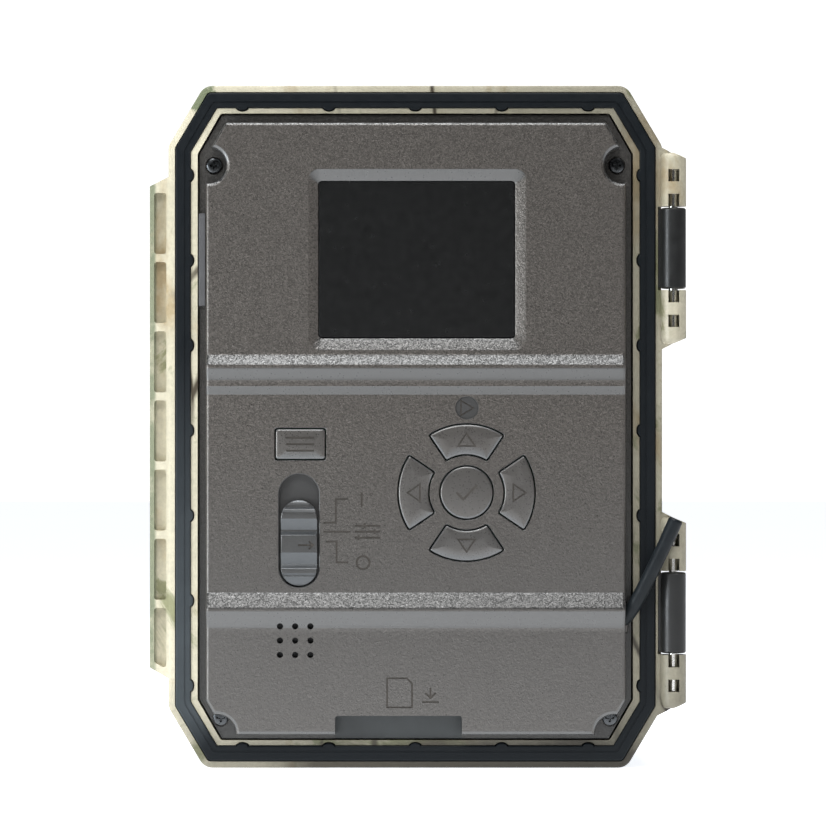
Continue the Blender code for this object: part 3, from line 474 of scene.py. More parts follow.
def sparkle(name, colour, roughness, grain=0.8, glint=1.75, scale=3100.0):
    """Metallic paint over a fine moulded grain, with single flakes.

    Painted glints: the flakes are brighter and vary more where the face points up, and are even low on the
    panel and on slopes that face down. Painted reflection: slopes that face down, the low panel and faces
    that point up are tinted bluish. The grain fades out low on the panel and on slopes that face down.
    """
    paint = Paint(name, colour, roughness, 0.62, Coat_Weight=0.3, Coat_Roughness=0.3)
    facing = paint.split(paint.node("ShaderNodeNewGeometry").outputs["True Normal"])["Z"]
    height = paint.split(paint.place)["Z"]
    rising = paint.range(facing, 0.15, 0.4)
    falling = paint.range(facing, -0.05, -0.15)
    low = paint.range(height, 0.075, 0.04)
    # Painted glint: the flakes are brighter and vary more on faces that point up; low on the panel and on
    # slopes that face down they are even.
    flake, uneven, _ = paint.split(paint.cells(scale * 1.35), "ShaderNodeSeparateColor")
    soft = paint.range(flake, 0.0, 1.0, 1.7 - 0.6 * glint, 0.3 + 0.6 * glint)
    hard = paint.range(flake, 0.1, 1.0, 1.9 - glint, glint)
    glint_and_flake_tone = paint.mix(rising, soft, hard)
    even = paint.math("MAXIMUM", falling, paint.product(low, 0.6))
    glint_and_flake_tone = paint.mix(rising, paint.mix(even, glint_and_flake_tone, (1.0, 1.0, 1.0)), hard)
    # Painted reflection: a bluish tint on slopes that face down, low on the panel and on faces that point
    # up.
    painted_reflection = paint.math("MAXIMUM", falling, paint.range(height, 0.075, 0.035, 0.0, 0.42))
    painted_reflection = paint.math("MAXIMUM", painted_reflection, rising)
    reflected_blue = tuple(c * t for c, t in zip(colour, (0.93, 1.03, 1.13)))
    paint.use("Base Color", paint.mix(1.0, paint.mix(painted_reflection, colour, reflected_blue), glint_and_flake_tone, "MULTIPLY"))
    paint.use("Roughness", paint.range(uneven, 0.0, 1.0, roughness - 0.07, roughness + 0.1))
    bumps = paint.math("ADD", paint.noise(scale, 2, 0.55), paint.noise(scale * 0.45, 2, 0.5))
    fade = paint.math("SUBTRACT", 1.0, paint.math("MAXIMUM", falling, paint.product(low, 0.55)))
    paint.bump(paint.product(bumps, fade), grain, 0.0001)
    return paint.material


def rubber(name, colour, roughness=0.45):
    paint = Paint(name, colour, roughness, Specular_IOR_Level=0.16)
    # Here the mottling is dust alone.
    dust_and_sheen = paint.range(paint.noise(160, 5, 0.65), 0.35, 0.75)
    paint.use("Base Color", paint.mix(dust_and_sheen, colour, tuple(c * 1.5 + 0.002 for c in colour)))
    paint.use("Roughness", paint.range(paint.noise(700, 4), 0.3, 0.7, roughness - 0.06, roughness + 0.1))
    paint.bump(paint.noise(3200, 3, 0.6), 0.12, 0.00005)
    return paint.material


def gasket(name, colour, wear_and_sheen):
    """Black rubber, paler along the lower left side: a painted sheen."""
    paint = Paint(name, colour, 0.45, Specular_IOR_Level=0.16)
    x, _, z = paint.split(paint.place)
    # Painted sheen: paler towards the lower left, where light falls on the seal.
    dust_and_sheen = paint.product(
        paint.range(z, 0.09, 0.035),
        paint.range(x, -0.044, -0.0465),
        paint.range(z, 0.004, 0.012),
        paint.range(paint.noise(160, 5, 0.65), 0.2, 0.7, 0.7, 1.0),
    )
    paint.use("Base Color", paint.mix(dust_and_sheen, colour, wear_and_sheen))
    paint.use("Roughness", paint.range(paint.noise(700, 4), 0.3, 0.7, 0.39, 0.55))
    paint.bump(paint.noise(3200, 3, 0.6), 0.12, 0.00005)
    return paint.material


def plastic(name, colour, roughness, grain=0.15, scale=3000.0, **sockets):
    paint = Paint(name, colour, roughness, **sockets)
    tone = paint.range(paint.noise(220, 4, 0.6), 0.3, 0.7)
    paint.use("Base Color", paint.mix(tone, tuple(c * 0.9 for c in colour), tuple(c * 1.1 for c in colour)))
    paint.use("Roughness", paint.range(paint.noise(500, 3), 0.3, 0.7, roughness * 0.85, roughness * 1.15))
    paint.bump(paint.noise(scale, 3, 0.6), grain, 0.00005)
    return paint.material


def metal(name, colour, roughness, stretch=(1, 1, 1)):
    paint = Paint(name, colour, roughness, 1.0)
    brushed = paint.noise(1500, 3, 0.6, 0.0, paint.stretched(stretch))
    paint.use("Base Color", paint.mix(brushed, tuple(c * 0.82 for c in colour), colour))
    paint.use("Roughness", paint.range(brushed, 0.3, 0.7, roughness * 0.8, roughness * 1.25))
    paint.bump(brushed, 0.08, 0.00004)
    return paint.material


def circuit(name, colour):
    paint = Paint(name, colour, 0.38)
    tracks = paint.node("ShaderNodeTexBrick")
    tracks.inputs["Scale"].default_value = 330
    tracks.inputs["Mortar Size"].default_value = 0.03
    paint.link(paint.stretched((1, 0, 1)), tracks.inputs["Vector"])
    light = tuple(c * 1.8 for c in colour)
    paint.use("Base Color", paint.mix(tracks.outputs["Fac"], colour, light))
    paint.bump(tracks.outputs["Fac"], 0.2, 0.00003)
    return paint.material


CAMO = camouflage()
PANEL = sparkle("panel_paint", (0.112, 0.102, 0.0925), 0.34)
KEYS = sparkle("key_paint", (0.124, 0.116, 0.108), 0.33, 0.1, 1.08)
KNOB = sparkle("knob_paint", (0.081, 0.079, 0.0765), 0.36, 0.08, 1.05)
# Painted shade: the panel's paint made darker for the flange, which lies in shade between the raised face
# and the lip.
SHADED_FLANGE = sparkle("shaded_flange_paint", (0.06, 0.057, 0.053), 0.42)
MARK = plastic("engraved_mark", (0.058, 0.05, 0.042), 0.6)
# Painted shade: a dark colour for the inside of the sunk track and play disc.
SHADED_SUNK = plastic("sunk_shade_paint", (0.041, 0.0405, 0.04), 0.45, 0.1, 1500.0)
RECESS = plastic("recess_plastic", (0.038, 0.043, 0.0445), 0.42, 0.1, 1500.0)
# The seal's third colour is its painted sheen at the lower left.
SEAL = gasket("seal_rubber", (0.0062, 0.0084, 0.0104), (0.051, 0.06, 0.066))
LEAD = rubber("lead_rubber", (0.008, 0.0105, 0.0125), 0.42)
SCREEN = plastic("display_glass", (0.0085, 0.0088, 0.0088), 0.24, 0.02)
BLACK = plastic("black_plastic", (0.022, 0.022, 0.022), 0.4)
SLEEVE = plastic("sleeve_plastic", (0.011, 0.0115, 0.0115), 0.36, 0.3, 1200.0)
SCREW = metal("black_screw", (0.085, 0.09, 0.095), 0.3)
STEEL = metal("plated_steel", (0.88, 0.87, 0.84), 0.22, (1, 1, 0.1))
BRASS = metal("brass", (0.72, 0.52, 0.24), 0.3)
BOARD = circuit("circuit_board", (0.018, 0.11, 0.045))
CHIP = plastic("chip_plastic", (0.018, 0.018, 0.02), 0.5)
FOAM_PAD = plastic("side_foam", (0.085, 0.085, 0.09), 0.6, 0.5, 1500.0)
AMBER = plastic("amber_film", (0.42, 0.19, 0.03), 0.35)
DOME = plastic("milky_dome", (0.72, 0.715, 0.68), 0.38, 0.1, Subsurface_Weight=0.15)
SMOKED = plastic("smoked_window", (0.016, 0.007, 0.007), 0.1, 0.01)
COATING = {"Coat_Weight": 1.0, "Coat_Tint": (0.55, 0.6, 1.0, 1)}
LENS = plastic("coated_lens", (0.01, 0.012, 0.022), 0.06, 0.0, **COATING)


# ---------------------------------------------------------------- case


def knuckle_blocks():
    """(name, low z, high z, direction away from the sleeve) of the four knuckle blocks."""
    start = SLEEVE_LENGTH / 2 + GAP
    for name, z in HINGES.items():
        yield name + "_top", z + start, z + start + BLOCK_LENGTH, 1
        yield name + "_low", z - start - BLOCK_LENGTH, z - start, -1


def hinge_ring(radius, z, sides, shift=0.0):
    """A circle of points round the hinge line, or its centre when the radius is zero."""
    angles = [2 * math.pi * (k + shift) / sides for k in range(sides if radius > 0 else 1)]
    return [(HINGE_X + radius * math.cos(a), REAR_Y + radius * math.sin(a), z) for a in angles]


def knuckle(name, low, high, way):
    """One knuckle block: a barrel whose far end is rounded off and slanted, and the web that carries it."""
    root = CASE_WIDTH / 2 - 1.2 * MM
    near, end = (low, high) if way > 0 else (high, low)
    rows = [hinge_ring(KNUCKLE_RADIUS, near, 40, 0.5)]
    for k in range(7):
        a = math.pi / 12 * k
        radius = KNUCKLE_RADIUS - 0.9 * MM * (1 - math.cos(a))
        rows.append(hinge_ring(radius, end - way * 1.43 * MM * (1 - math.sin(a)), 40, 0.5))
    barrel = skin("barrel_" + name, rows)
    root_low = low - (WEB_SLANT if way < 0 else 0)
    root_high = high + (WEB_SLANT if way > 0 else 0)
    outline = [(root, root_low), (HINGE_X, low + 0.02 * MM), (HINGE_X, high - 0.02 * MM), (root, root_high)]
    web = slab("web_" + name, outline, REAR_Y + 0.12 * MM, REAR_Y + KNUCKLE_RADIUS - 0.05 * MM)
    wedge = [(-0.9, -0.35), (4.0, 1.7), (4.0, -3.0), (-0.9, -3.0)]
    slant = [(HINGE_X + x * MM, end - way * z * MM) for x, z in wedge]
    cut(barrel, slab("slant", slant, REAR_Y - 5 * MM, REAR_Y + 5 * MM))
    return web, barrel


def add_knuckles(case):
    """Joins the knuckle blocks to the case, then cuts the pin's bore, its slots and the sleeves' gates."""
    wall_x = CASE_WIDTH / 2
    for block in knuckle_blocks():
        join(case, *knuckle(*block))
    for _, low, high, way in knuckle_blocks():
        tools = [rod("bore", (HINGE_X, REAR_Y, low - OVERLAP), (HINGE_X, REAR_Y, high + OVERLAP), PIN_BORE)]
        near = low if way > 0 else high
        for k in range(2):
            first = near + way * (k * KNUCKLE_PITCH - (OVERLAP if k == 0 else 0))
            last = near + way * (k * KNUCKLE_PITCH + KNUCKLE_SLOT)
            z = (min(first, last), max(first, last))
            tools.append(box("slot", (HINGE_X - PIN_BORE, HINGE_X + PIN_BORE), (REAR_Y - 6 * MM, REAR_Y), z))
        cut(case, *tools)
    half = SLEEVE_LENGTH / 2 + GAP
    for z in HINGES.values():
        gate_y = (REAR_Y - OVERLAP, REAR_Y + 4.2 * MM)
        cut(case, box("gate", (wall_x - 0.95 * MM, wall_x + 10 * MM), gate_y, (z - half, z + half)))


def nib_outline(inset, trim):
    """The seal's inner outline with its half-round nibs; trim makes the nibs larger."""
    x = CASE_WIDTH / 2 - inset
    low, high = inset, CASE_HEIGHT - inset
    sides = [NIB_MID_Z + k * NIB_PITCH for k in range(-3, 4)]
    ends = [k * 18.8 * MM for k in range(-2, 3)]
    right = [((x, z), (-1, 0)) for z in sides]
    top = [((e, high), (0, -1)) for e in reversed(ends)]
    left = [((-x, z), (1, 0)) for z in reversed(sides)]
    bottom = [((e, low), (0, 1)) for e in ends]
    corners = octagon(inset)
    radius = NIB_RADIUS + trim
    out = []
    for start, nibs in ((1, right), (3, top), (5, left), (7, bottom)):
        out.append(corners[start])
        for (nx, nz), (dx, dz) in nibs:
            along = Vector((-dz, dx))
            for k in range(11):
                angle = math.pi * k / 10
                side = math.cos(angle) * radius
                deep = math.sin(angle) ** 1.3 * radius * 0.5
                out.append(tuple(Vector((nx, nz)) + along * side + Vector((dx, dz)) * deep))
        out.append(corners[(start + 1) % 8])
    return out


def wing():
    """The ribbed wing that the door's latch pulls on, with its pockets cut."""
    wall_x, edge_x = -CASE_WIDTH / 2, CASE_LOW.x
    root = wall_x + 1.2 * MM
    edge = (21.85 * MM, 126.5 * MM)
    outline = [(root, 18.75 * MM), (root, 129.15 * MM), (edge_x, edge[1]), (edge_x, edge[0])]
    body = slab("wing", outline, REAR_Y + 0.12 * MM, REAR_Y + 9 * MM)
    pitch, length = 15.05 * MM, 13.3 * MM
    left, right = edge_x + 0.95 * MM, wall_x - 0.45 * MM
    for k in range(7):
        z = 73.3 * MM + (k - 3) * pitch
        low, high = z - length / 2, z + length / 2
        low_left = max(low, edge[0] + 1.1 * MM)
        high_left = min(high, edge[1] - 0.9 * MM)
        pocket = rounded([(right, low), (right, high), (left, high_left), (left, low_left)], 0.6 * MM, 4)
        cut(body, slab("pocket", pocket, REAR_Y - OVERLAP, REAR_Y + 2 * MM))
    return body


def make_case():
    """The shell with its wing, mouth, groove, openings, knuckles and tripod socket."""
    face, rim, corner = FRONT_SKIN_Y, REAR_Y, 2.8 * MM
    levels = [(0.45 * MM, rim), (0.12 * MM, rim + 0.14 * MM), (0, rim + 0.5 * MM)]
    for k in range(7):
        a = math.pi / 2 * k / 6
        levels.append((corner * (1 - math.cos(a)), face - corner * (1 - math.sin(a))))
    case = loft("case", [(rounded(octagon(inset), CORNER_RADIUS), y) for inset, y in levels])
    join(case, wing())
    mouth = rounded(octagon(LIP_INNER, LIP_RISE), 0.8 * MM)
    ir_z = (IR_Z - 11 * MM, IR_Z + 11 * MM)
    cut(
        case,
        slab("cavity", octagon(WALL), rim + RIM_DEPTH, face - WALL),
        slab("mouth", mouth, rim - OVERLAP, rim + RIM_DEPTH + OVERLAP),
        slab("plate_seat", face_outline(0.0), face - 1.6 * MM, face + OVERLAP),
        box("ir_opening", (-23 * MM, 23 * MM), (face - 6 * MM, face + 6 * MM), ir_z),
    )
    for x, z, radius in ((0, LENS_Z, 8.6), (0, PIR_Z, 13.0), (EYE_X, LENS_Z, 2.2), (-EYE_X, LENS_Z, 2.2)):
        cut(case, along_y("opening", x, z, face - 8 * MM, face + OVERLAP, radius * MM))
    groove_edge = rounded(octagon(SEAL_OUTER - 0.1 * MM), 1.2 * MM)
    groove = slab("groove", groove_edge, rim - OVERLAP, rim + GROOVE_DEPTH)
    core = nib_outline(SEAL_INNER, 0.25 * MM)
    cut(groove, slab("groove_core", core, rim - 2 * OVERLAP, rim + GROOVE_DEPTH + OVERLAP))
    cut(case, groove)
    add_knuckles(case)
    socket_y = middle("tripod_insert").y
    join(case, rod("boss", (0, socket_y, 1.0 * MM), (0, socket_y, 11.5 * MM), 7.0 * MM))
    cut(case, rod("socket", (0, socket_y, -OVERLAP), (0, socket_y, 10.0 * MM), 5.0 * MM))
    bevel(case, 0.16 * MM, 2, 48, clamp=True)
    finish(case, CAMO, "camera", "case", "front_case")


def make_seal():
    """The rubber ring: a crowned top with one shallow line, and nibs on the inner edge."""
    top, floor = REAR_Y - SEAL_PROUD, REAR_Y + GROOVE_DEPTH
    out_edge, in_edge = SEAL_OUTER + 0.05 * MM, SEAL_INNER - 0.05 * MM
    width = SEAL_INNER - SEAL_OUTER - 0.1 * MM
    crown = [(0.0, top + 0.45 * MM), (0.12 * MM, top + 0.15 * MM), (0.4 * MM, top)]
    outside = [(0.0, floor - GAP)] + crown
    inside = [(0.0, floor + OVERLAP)] + crown + [(0.4 * MM, top - OVERLAP)]
    body = loft("seal_ring", [(rounded(octagon(out_edge + d), 1.2 * MM, 5), y) for d, y in outside])
    cut(body, loft("seal_inside", [(nib_outline(in_edge - d, 0.0), y) for d, y in inside]))
    near, far = (rounded(octagon(out_edge + width * share), 1.2 * MM, 5) for share in (0.56, 0.68))
    line = slab("line", near, top - OVERLAP, top + 0.16 * MM)
    cut(line, slab("line_core", far, top - 2 * OVERLAP, top + OVERLAP))
    cut(body, line)
    finish(body, SEAL, "camera", "seal", "seal")


# ---------------------------------------------------------------- control panel

WINDOW_WIDTH, WINDOW_HEIGHT = 42.75 * MM, 34.2 * MM
WINDOW = middle("display_window")
UPPER_RIDGE, LOWER_RIDGE = 87.35 * MM, 34.6 * MM
PAD = middle("key_ok")
MENU = middle("key_menu")
TRACK_X, TRACK_Z, TRACK_WIDTH, TRACK_LENGTH = middle("mode_slider").x, 51.7 * MM, 8.6 * MM, 24.5 * MM
SPEAKER = middle("speaker")
LEAD_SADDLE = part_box("lead_saddle")
CARD_X, CARD_TOP_Z = (-17.4 * MM, 10.1 * MM), 11.6 * MM
NOTCHES = [(44.9 * MM, 130.95 * MM, 3.9 * MM), (43.05 * MM, 7.65 * MM, 4.15 * MM)]
FRONT_SKIN_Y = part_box("ir_window")[1][1] - 0.6 * MM
SCREW_PLACES = ("top_left", "top_right", "low_left", "low_right")
SCREWS = {name: middle("panel_screw_" + name) for name in SCREW_PLACES}
ARC_MIDDLES = {"right": 0.0, "up": math.pi / 2, "left": math.pi, "down": -math.pi / 2}
ARC_INNER, ARC_OUTER, ARC_HALF = 8.05 * MM, 14.98 * MM, math.radians(34.0)
OK_HOLE = 5.9 * MM


def face_outline(trim):
    """The black front plate: a tall rectangle with cut corners."""
    w, h = 32 * MM - trim, 62 * MM - trim
    quarter = [(w, h - 10 * MM), (w - 6 * MM, h)]
    right = [(x, -z) for x, z in reversed(quarter)] + quarter
    return [(x, z + MID_Z) for x, z in right + [(-x, z) for x, z in reversed(right)]]


def sector(middle_angle, trim):
    """A rounded piece of a ring round the pad's centre, drawn in by trim all round."""
    inner, outer = ARC_INNER + trim, ARC_OUTER - trim
    points = []
    for radius, sign, steps in ((outer, 1, 24), (inner, -1, 14)):
        reach = (ARC_HALF - math.asin((trim + 0.1 * MM) / radius)) * sign
        points += arc((PAD.x, PAD.z), radius, middle_angle - reach, middle_angle + reach, steps)
    corner = max(0.5 * MM - trim * 0.6, 0.12 * MM)
    return rounded(points, corner, 4, keep=140)


def key_outline(name, trim):
    if name == "ok":
        return ring((PAD.x, PAD.z), OK_HOLE - trim, 72)
    if name == "menu":
        return rounded(rectangle(11.15 * MM - 2 * trim, 6.95 * MM - 2 * trim, MENU.x, MENU.z), 0.55 * MM, 5)
    return sector(ARC_MIDDLES[name], trim)


KEY_NAMES = ("ok", "menu", "up", "down", "left", "right")


def ridge_face():
    """(y, z) of the panel's face from top to bottom, with its two ridges."""
    flat, crest = PANEL_TOP_Y, PANEL_TOP_Y - 1.3 * MM
    step, shoulder = PANEL_TOP_Y - 0.5 * MM, PANEL_TOP_Y - 1.15 * MM
    upper, lower = UPPER_RIDGE, LOWER_RIDGE
    rise = [(0, 3.0), (0.08, 2.5), (0.3, 1.95), (0.7, 1.15), (1.05, 0.5), (1.13, 0.3), (1.15, 0.15)]
    points = [(flat, CASE_HEIGHT)]
    points += [(flat - d * MM, upper + z * MM) for d, z in rise]
    fall = [(0.0, 0.4), (0.04, 0.65), (0.16, 1.1), (0.34, 1.8), (0.51, 2.5), (0.6, 3.0), (0.64, 3.6)]
    points += [(shoulder + d * MM, upper - z * MM) for d, z in fall]
    points += [(step, upper - 4.35 * MM), (step + 0.08 * MM, upper - 4.5 * MM)]
    points += [(flat - 0.12 * MM, upper - 6.0 * MM), (flat, upper - 6.15 * MM)]
    rise = [(0, 3.5), (0.1, 3.3), (0.7, 1.8), (1.2, 0.55), (1.3, 0.3)]
    points += [(flat - d * MM, lower + z * 1.05 * MM) for d, z in rise]
    fall = [(0.0, 0.3), (0.06, 0.5), (0.3, 1.2), (0.65, 2.0), (0.95, 2.7), (1.15, 3.3), (1.26, 4.0)]
    fall.append((1.3, 4.9))
    points += [(crest + d * MM, lower - z * MM) for d, z in fall]
    return points + [(flat, 0.0)]


def make_panel():
    """The control panel: a raised face on a flange, with every opening, seat and mark cut into it."""
    half, top, deep, back = CASE_WIDTH / 2, PANEL_TOP_Y, REAR_Y - 9 * MM, REAR_Y + 5 * MM
    raised = rounded(octagon(PLATEAU_INSET, PLATEAU_RISE), 0.9 * MM)
    plateau = [(x + 0.1 * MM, z - PLATEAU_DROP) for x, z in raised]
    panel = slab("control_panel_skin", plateau, REAR_Y - 8 * MM, FLANGE_TOP_Y + 0.5 * MM)
    panel.data.materials.append(PANEL)
    boolean(panel, bar_x("face", ridge_face() + [(back, 0), (back, CASE_HEIGHT)], -half, half), "INTERSECT")
    bevel(panel, 0.75 * MM, 4, 50)
    notches = [(side * x, z, radius) for side in (-1, 1) for x, z, radius in NOTCHES]
    rim = [(0.8, -6.3), (0.8, 0.03), (0.56, 0.1), (0.22, 0.35), (0.0, 0.85), (0.0, 6.0)]
    for x, z, radius in notches:
        cut(panel, loft("notch", [(ring((x, z), radius + r * MM, 64), top + y * MM) for r, y in rim]))
    flange = slab("flange", octagon(FLANGE_INSET, FLANGE_RISE), FLANGE_TOP_Y, FLANGE_TOP_Y + FLANGE_THICK)
    # The flange carries the darker copy of the paint, as painted shade.
    flange.data.materials.append(SHADED_FLANGE)
    join(panel, flange)
    recess = rectangle(CARD_X[1] - CARD_X[0], 2 * CARD_TOP_Z, (CARD_X[0] + CARD_X[1]) / 2, 0)
    bed = slab("recess", rounded(recess, 0.6 * MM, 4), deep, FLANGE_TOP_Y + 0.12 * MM)
    bed.data.materials.append(RECESS)
    cut(panel, bed)
    hollow = slab("inside", octagon(12 * MM), PANEL_IN_Y, REAR_Y + 4 * MM)
    for x, z, radius in notches:
        cut(hollow, along_y("post", x, z, deep, REAR_Y + 6 * MM, radius + 1.2 * MM, 40))
    cut(panel, hollow)
    for spot in SCREWS.values():
        x, z, y = spot.x, spot.z, FLANGE_TOP_Y
        cut(panel, along_y("seat", x, z, y - 0.9 * MM, y + 0.7 * MM, 1.95 * MM))
        cut(panel, along_y("hole", x, z, y - 0.6 * MM, REAR_Y + 6 * MM, 1.25 * MM))
    cut_window(panel)
    mouth = [(-0.14, -1.0), (-0.14, 0.02), (-0.03, 0.1), (0.0, 0.24), (0.0, 4.0)]
    for name in KEY_NAMES:
        cut(panel, loft("mouth", [(key_outline(name, trim * MM), top + y * MM) for trim, y in mouth]))
    cut_track(panel)
    for column in (-1, 0, 1):
        for row in (-1, 0, 1):
            x, z = SPEAKER.x + (column * 3.3 + 0.18) * MM, SPEAKER.z + (row * 3.1 + 0.2) * MM
            hole = [(0.68, -1.0), (0.66, 3.0)]
            cut(panel, loft("hole", [(ring((x, z), r * MM, 24), top + y * MM) for r, y in hole]))
    card_y, lead_y = (REAR_Y - 1.8 * MM, REAR_Y + 0.3 * MM), (REAR_Y - 3.6 * MM, REAR_Y + 2.2 * MM)
    cut(panel, box("card_mouth", (-15.95 * MM, 8.65 * MM), card_y, (9 * MM, 14 * MM)))
    low, high = LEAD_SADDLE
    cut(panel, box("lead_mouth", (41 * MM, 46.3 * MM), lead_y, (low[2] - GAP, high[2] + GAP)))
    panel_marks(panel)
    finish(panel, PANEL, "camera", "panel", "control_panel", angle=24)


def cut_track(panel):
    """The mode slider's sunk track, on a floor of its own with a slit for the knob's stem."""
    def track(grow):
        return stadium(TRACK_WIDTH + grow * MM, TRACK_LENGTH + grow * MM, TRACK_X, TRACK_Z, 24)

    join(panel, slab("track_floor", track(3), PANEL_IN_Y - 0.4 * MM, PANEL_IN_Y + 1.4 * MM))
    edge = ((0.5, -1.0), (0.5, 0.02), (0.16, 0.1), (0, 0.3), (0, 1.6))
    sunk = loft("track", [(track(grow), PANEL_TOP_Y + y * MM) for grow, y in edge])
    # The track's faces take the dark colour as painted shade.
    sunk.data.materials.append(SHADED_SUNK)
    cut(panel, sunk)
    slit_x, slit_z = (TRACK_X - 1.4 * MM, TRACK_X + 1.4 * MM), (TRACK_Z - 4.7 * MM, TRACK_Z + 4.7 * MM)
    cut(panel, box("slit", slit_x, (REAR_Y - 9 * MM, REAR_Y), slit_z))


def cut_window(panel):
    """The display's opening: a sunk frame whose sides slope in, then the straight opening."""
    slope = [(7.0, 7.4, 2.6, -0.4), (4.4, 4.9, 2.4, 0.03), (3.5, 4.1, 2.2, 0.16), (0.9, 1.1, 1.1, 0.68)]
    slope += [(0.3, 0.4, 1.0, 0.82), (0.0, 0.0, 0.85, 0.9), (0.0, 0.0, 0.85, 4.0)]
    rings = []
    for wide, high, corner, y in slope:
        x, z = WINDOW.x + wide * 0.03 * MM, WINDOW.z - 0.15 * MM
        outline = rectangle(WINDOW_WIDTH + wide * MM, WINDOW_HEIGHT + high * MM, x, z)
        rings.append((rounded(outline, corner * MM, 8), PANEL_TOP_Y + y * MM))
    cut(panel, loft("funnel", rings))


# ---------------------------------------------------------------- engraved lines and marks


def ribbon(points, width):
    """The outline of an open line with square ends."""
    half = width / 2
    line = [Vector(p) for p in points]
    left, right = [], []
    for i, here in enumerate(line):
        before = (here - line[i - 1]).normalized() if i else None
        after = (line[i + 1] - here).normalized() if i + 1 < len(line) else None
        ways = [w for w in (before, after) if w is not None]
        normals = [Vector((-w.y, w.x)) for w in ways]
        normal = sum(normals, Vector((0, 0))).normalized()
        reach = half / max(0.3, normal.dot(normals[0]))
        left.append(tuple(here + normal * reach))
        right.append(tuple(here - normal * reach))
    return left + list(reversed(right))


def offset(points, distance):
    """A closed convex outline moved outward by a distance."""
    following = points[1:] + points[:1]
    turn = sum(a[0] * b[1] - b[0] * a[1] for a, b in zip(points, following))
    sign = 1 if turn > 0 else -1
    out = []
    for i, corner in enumerate(points):
        here = Vector(corner)
        before = (here - Vector(points[i - 1])).normalized()
        after = (Vector(following[i]) - here).normalized()
        normals = [Vector((w.y, -w.x)) * sign for w in (before, after)]
        normal = (normals[0] + normals[1]).normalized()
        out.append(tuple(here + normal * distance / max(0.3, normal.dot(normals[0]))))
    return out


def engrave(obj, y, lines=(), loops=(), spots=(), width=0.34 * MM, depth=0.22 * MM):
    """Cuts open lines, closed outlines and filled outlines into a face at y."""
    near, far = y - 0.6 * MM, y + depth
    tools = [slab("line", ribbon(points, width), near, far) for points in lines]
    for points in loops:
        outer, inner = offset(points, width / 2), offset(points, -width / 2)
        tools.append(band("loop", [(outer, near), (outer, far), (inner, far), (inner, near)]))
    tools += [slab("spot", points, near, far) for points in spots]
    for tool in tools:
        tool.data.materials.append(MARK)
    cut(obj, *tools)


def at(centre, *points):
    """Points given in millimetres from a centre."""
    return [(centre[0] + x * MM, centre[1] + z * MM) for x, z in points]


def triangle(centre, half_width, angle):
    """A flat arrowhead that points along angle."""
    along = Vector((math.cos(angle), math.sin(angle)))
    across = Vector((-along.y, along.x))
    corners = ((1.4, 0.0), (-1.3, half_width), (-1.3, -half_width))
    return [tuple(Vector(centre) + (along * a + across * b) * MM) for a, b in corners]


def legend(panel):
    """Brackets and three plain marks beside the switch: a stroke, three bars and a ring."""
    x = TRACK_X + 8.0 * MM
    top, mid, low = (x, 53.3 * MM), (x, 51.5 * MM), (x, 44.8 * MM)
    lines = [
        at(top, (-2.7, 0.15), (0, 0.15), (0, 5.25), (2.7, 5.25)),
        at(mid, (-2.7, 0), (3.2, 0)),
        at(low, (-2.1, 4.55), (0.15, 4.55), (0.15, 0.05), (2.7, 0.05)),
        at((x, 58.45 * MM), (5.6, -1.5), (5.6, 1.5)),
    ]
    for d, tick in ((-1.3, 4.9), (0.0, 8.4), (1.3, 6.2)):
        lines.append(at(mid, (4.1, d), (9.6, d)))
        lines.append(at(mid, (tick, d - 0.5), (tick, d + 0.5)))
    engrave(panel, PANEL_TOP_Y, lines, width=0.4 * MM)
    engrave(panel, PANEL_TOP_Y, loops=[ring((x + 5.9 * MM, 44.8 * MM), 1.4 * MM, 32)], width=0.42 * MM)


def panel_marks(panel):
    """The switch's legend, the play disc over the pad, and the card outline with its arrow."""
    legend(panel)
    play = (PAD.x + 0.1 * MM, 78.3 * MM)
    disc = [(2.55, -1.0), (2.55, 0.0), (2.42, 0.16), (2.4, 0.34)]
    sunk = loft("play_disc", [(ring(play, r * MM, 48), PANEL_TOP_Y + y * MM) for r, y in disc])
    # The disc's faces take the dark colour as painted shade.
    sunk.data.materials.append(SHADED_SUNK)
    cut(panel, sunk)
    engrave(panel, PANEL_TOP_Y + 0.34 * MM, loops=[triangle(play, 1.6, 0.0)], width=0.3 * MM)
    card, side = (-3.4 * MM, 16.6 * MM), (3.3 * MM, 16.2 * MM)
    outline = at(card, (-2.7, -3.15), (2.7, -3.15), (2.7, 2.0), (1.55, 3.15), (-2.7, 3.15))
    engrave(panel, PANEL_TOP_Y, loops=[outline], width=0.34 * MM)
    stem, bar = at(side, (0, 1.5), (0, -0.6)), at(side, (-1.8, -1.6), (1.8, -1.6))
    head = at(side, (-1.1, 0.35), (0, -0.75), (1.1, 0.35))
    engrave(panel, PANEL_TOP_Y, [stem, head, bar], width=0.36 * MM)


# ---------------------------------------------------------------- keys, switch, display, screws


CROWN = [(0.0, 0.0), (0.05, 0.14), (0.16, 0.24), (0.42, 0.31), (1.0, 0.39), (1.7, 0.46), (2.5, 0.5)]


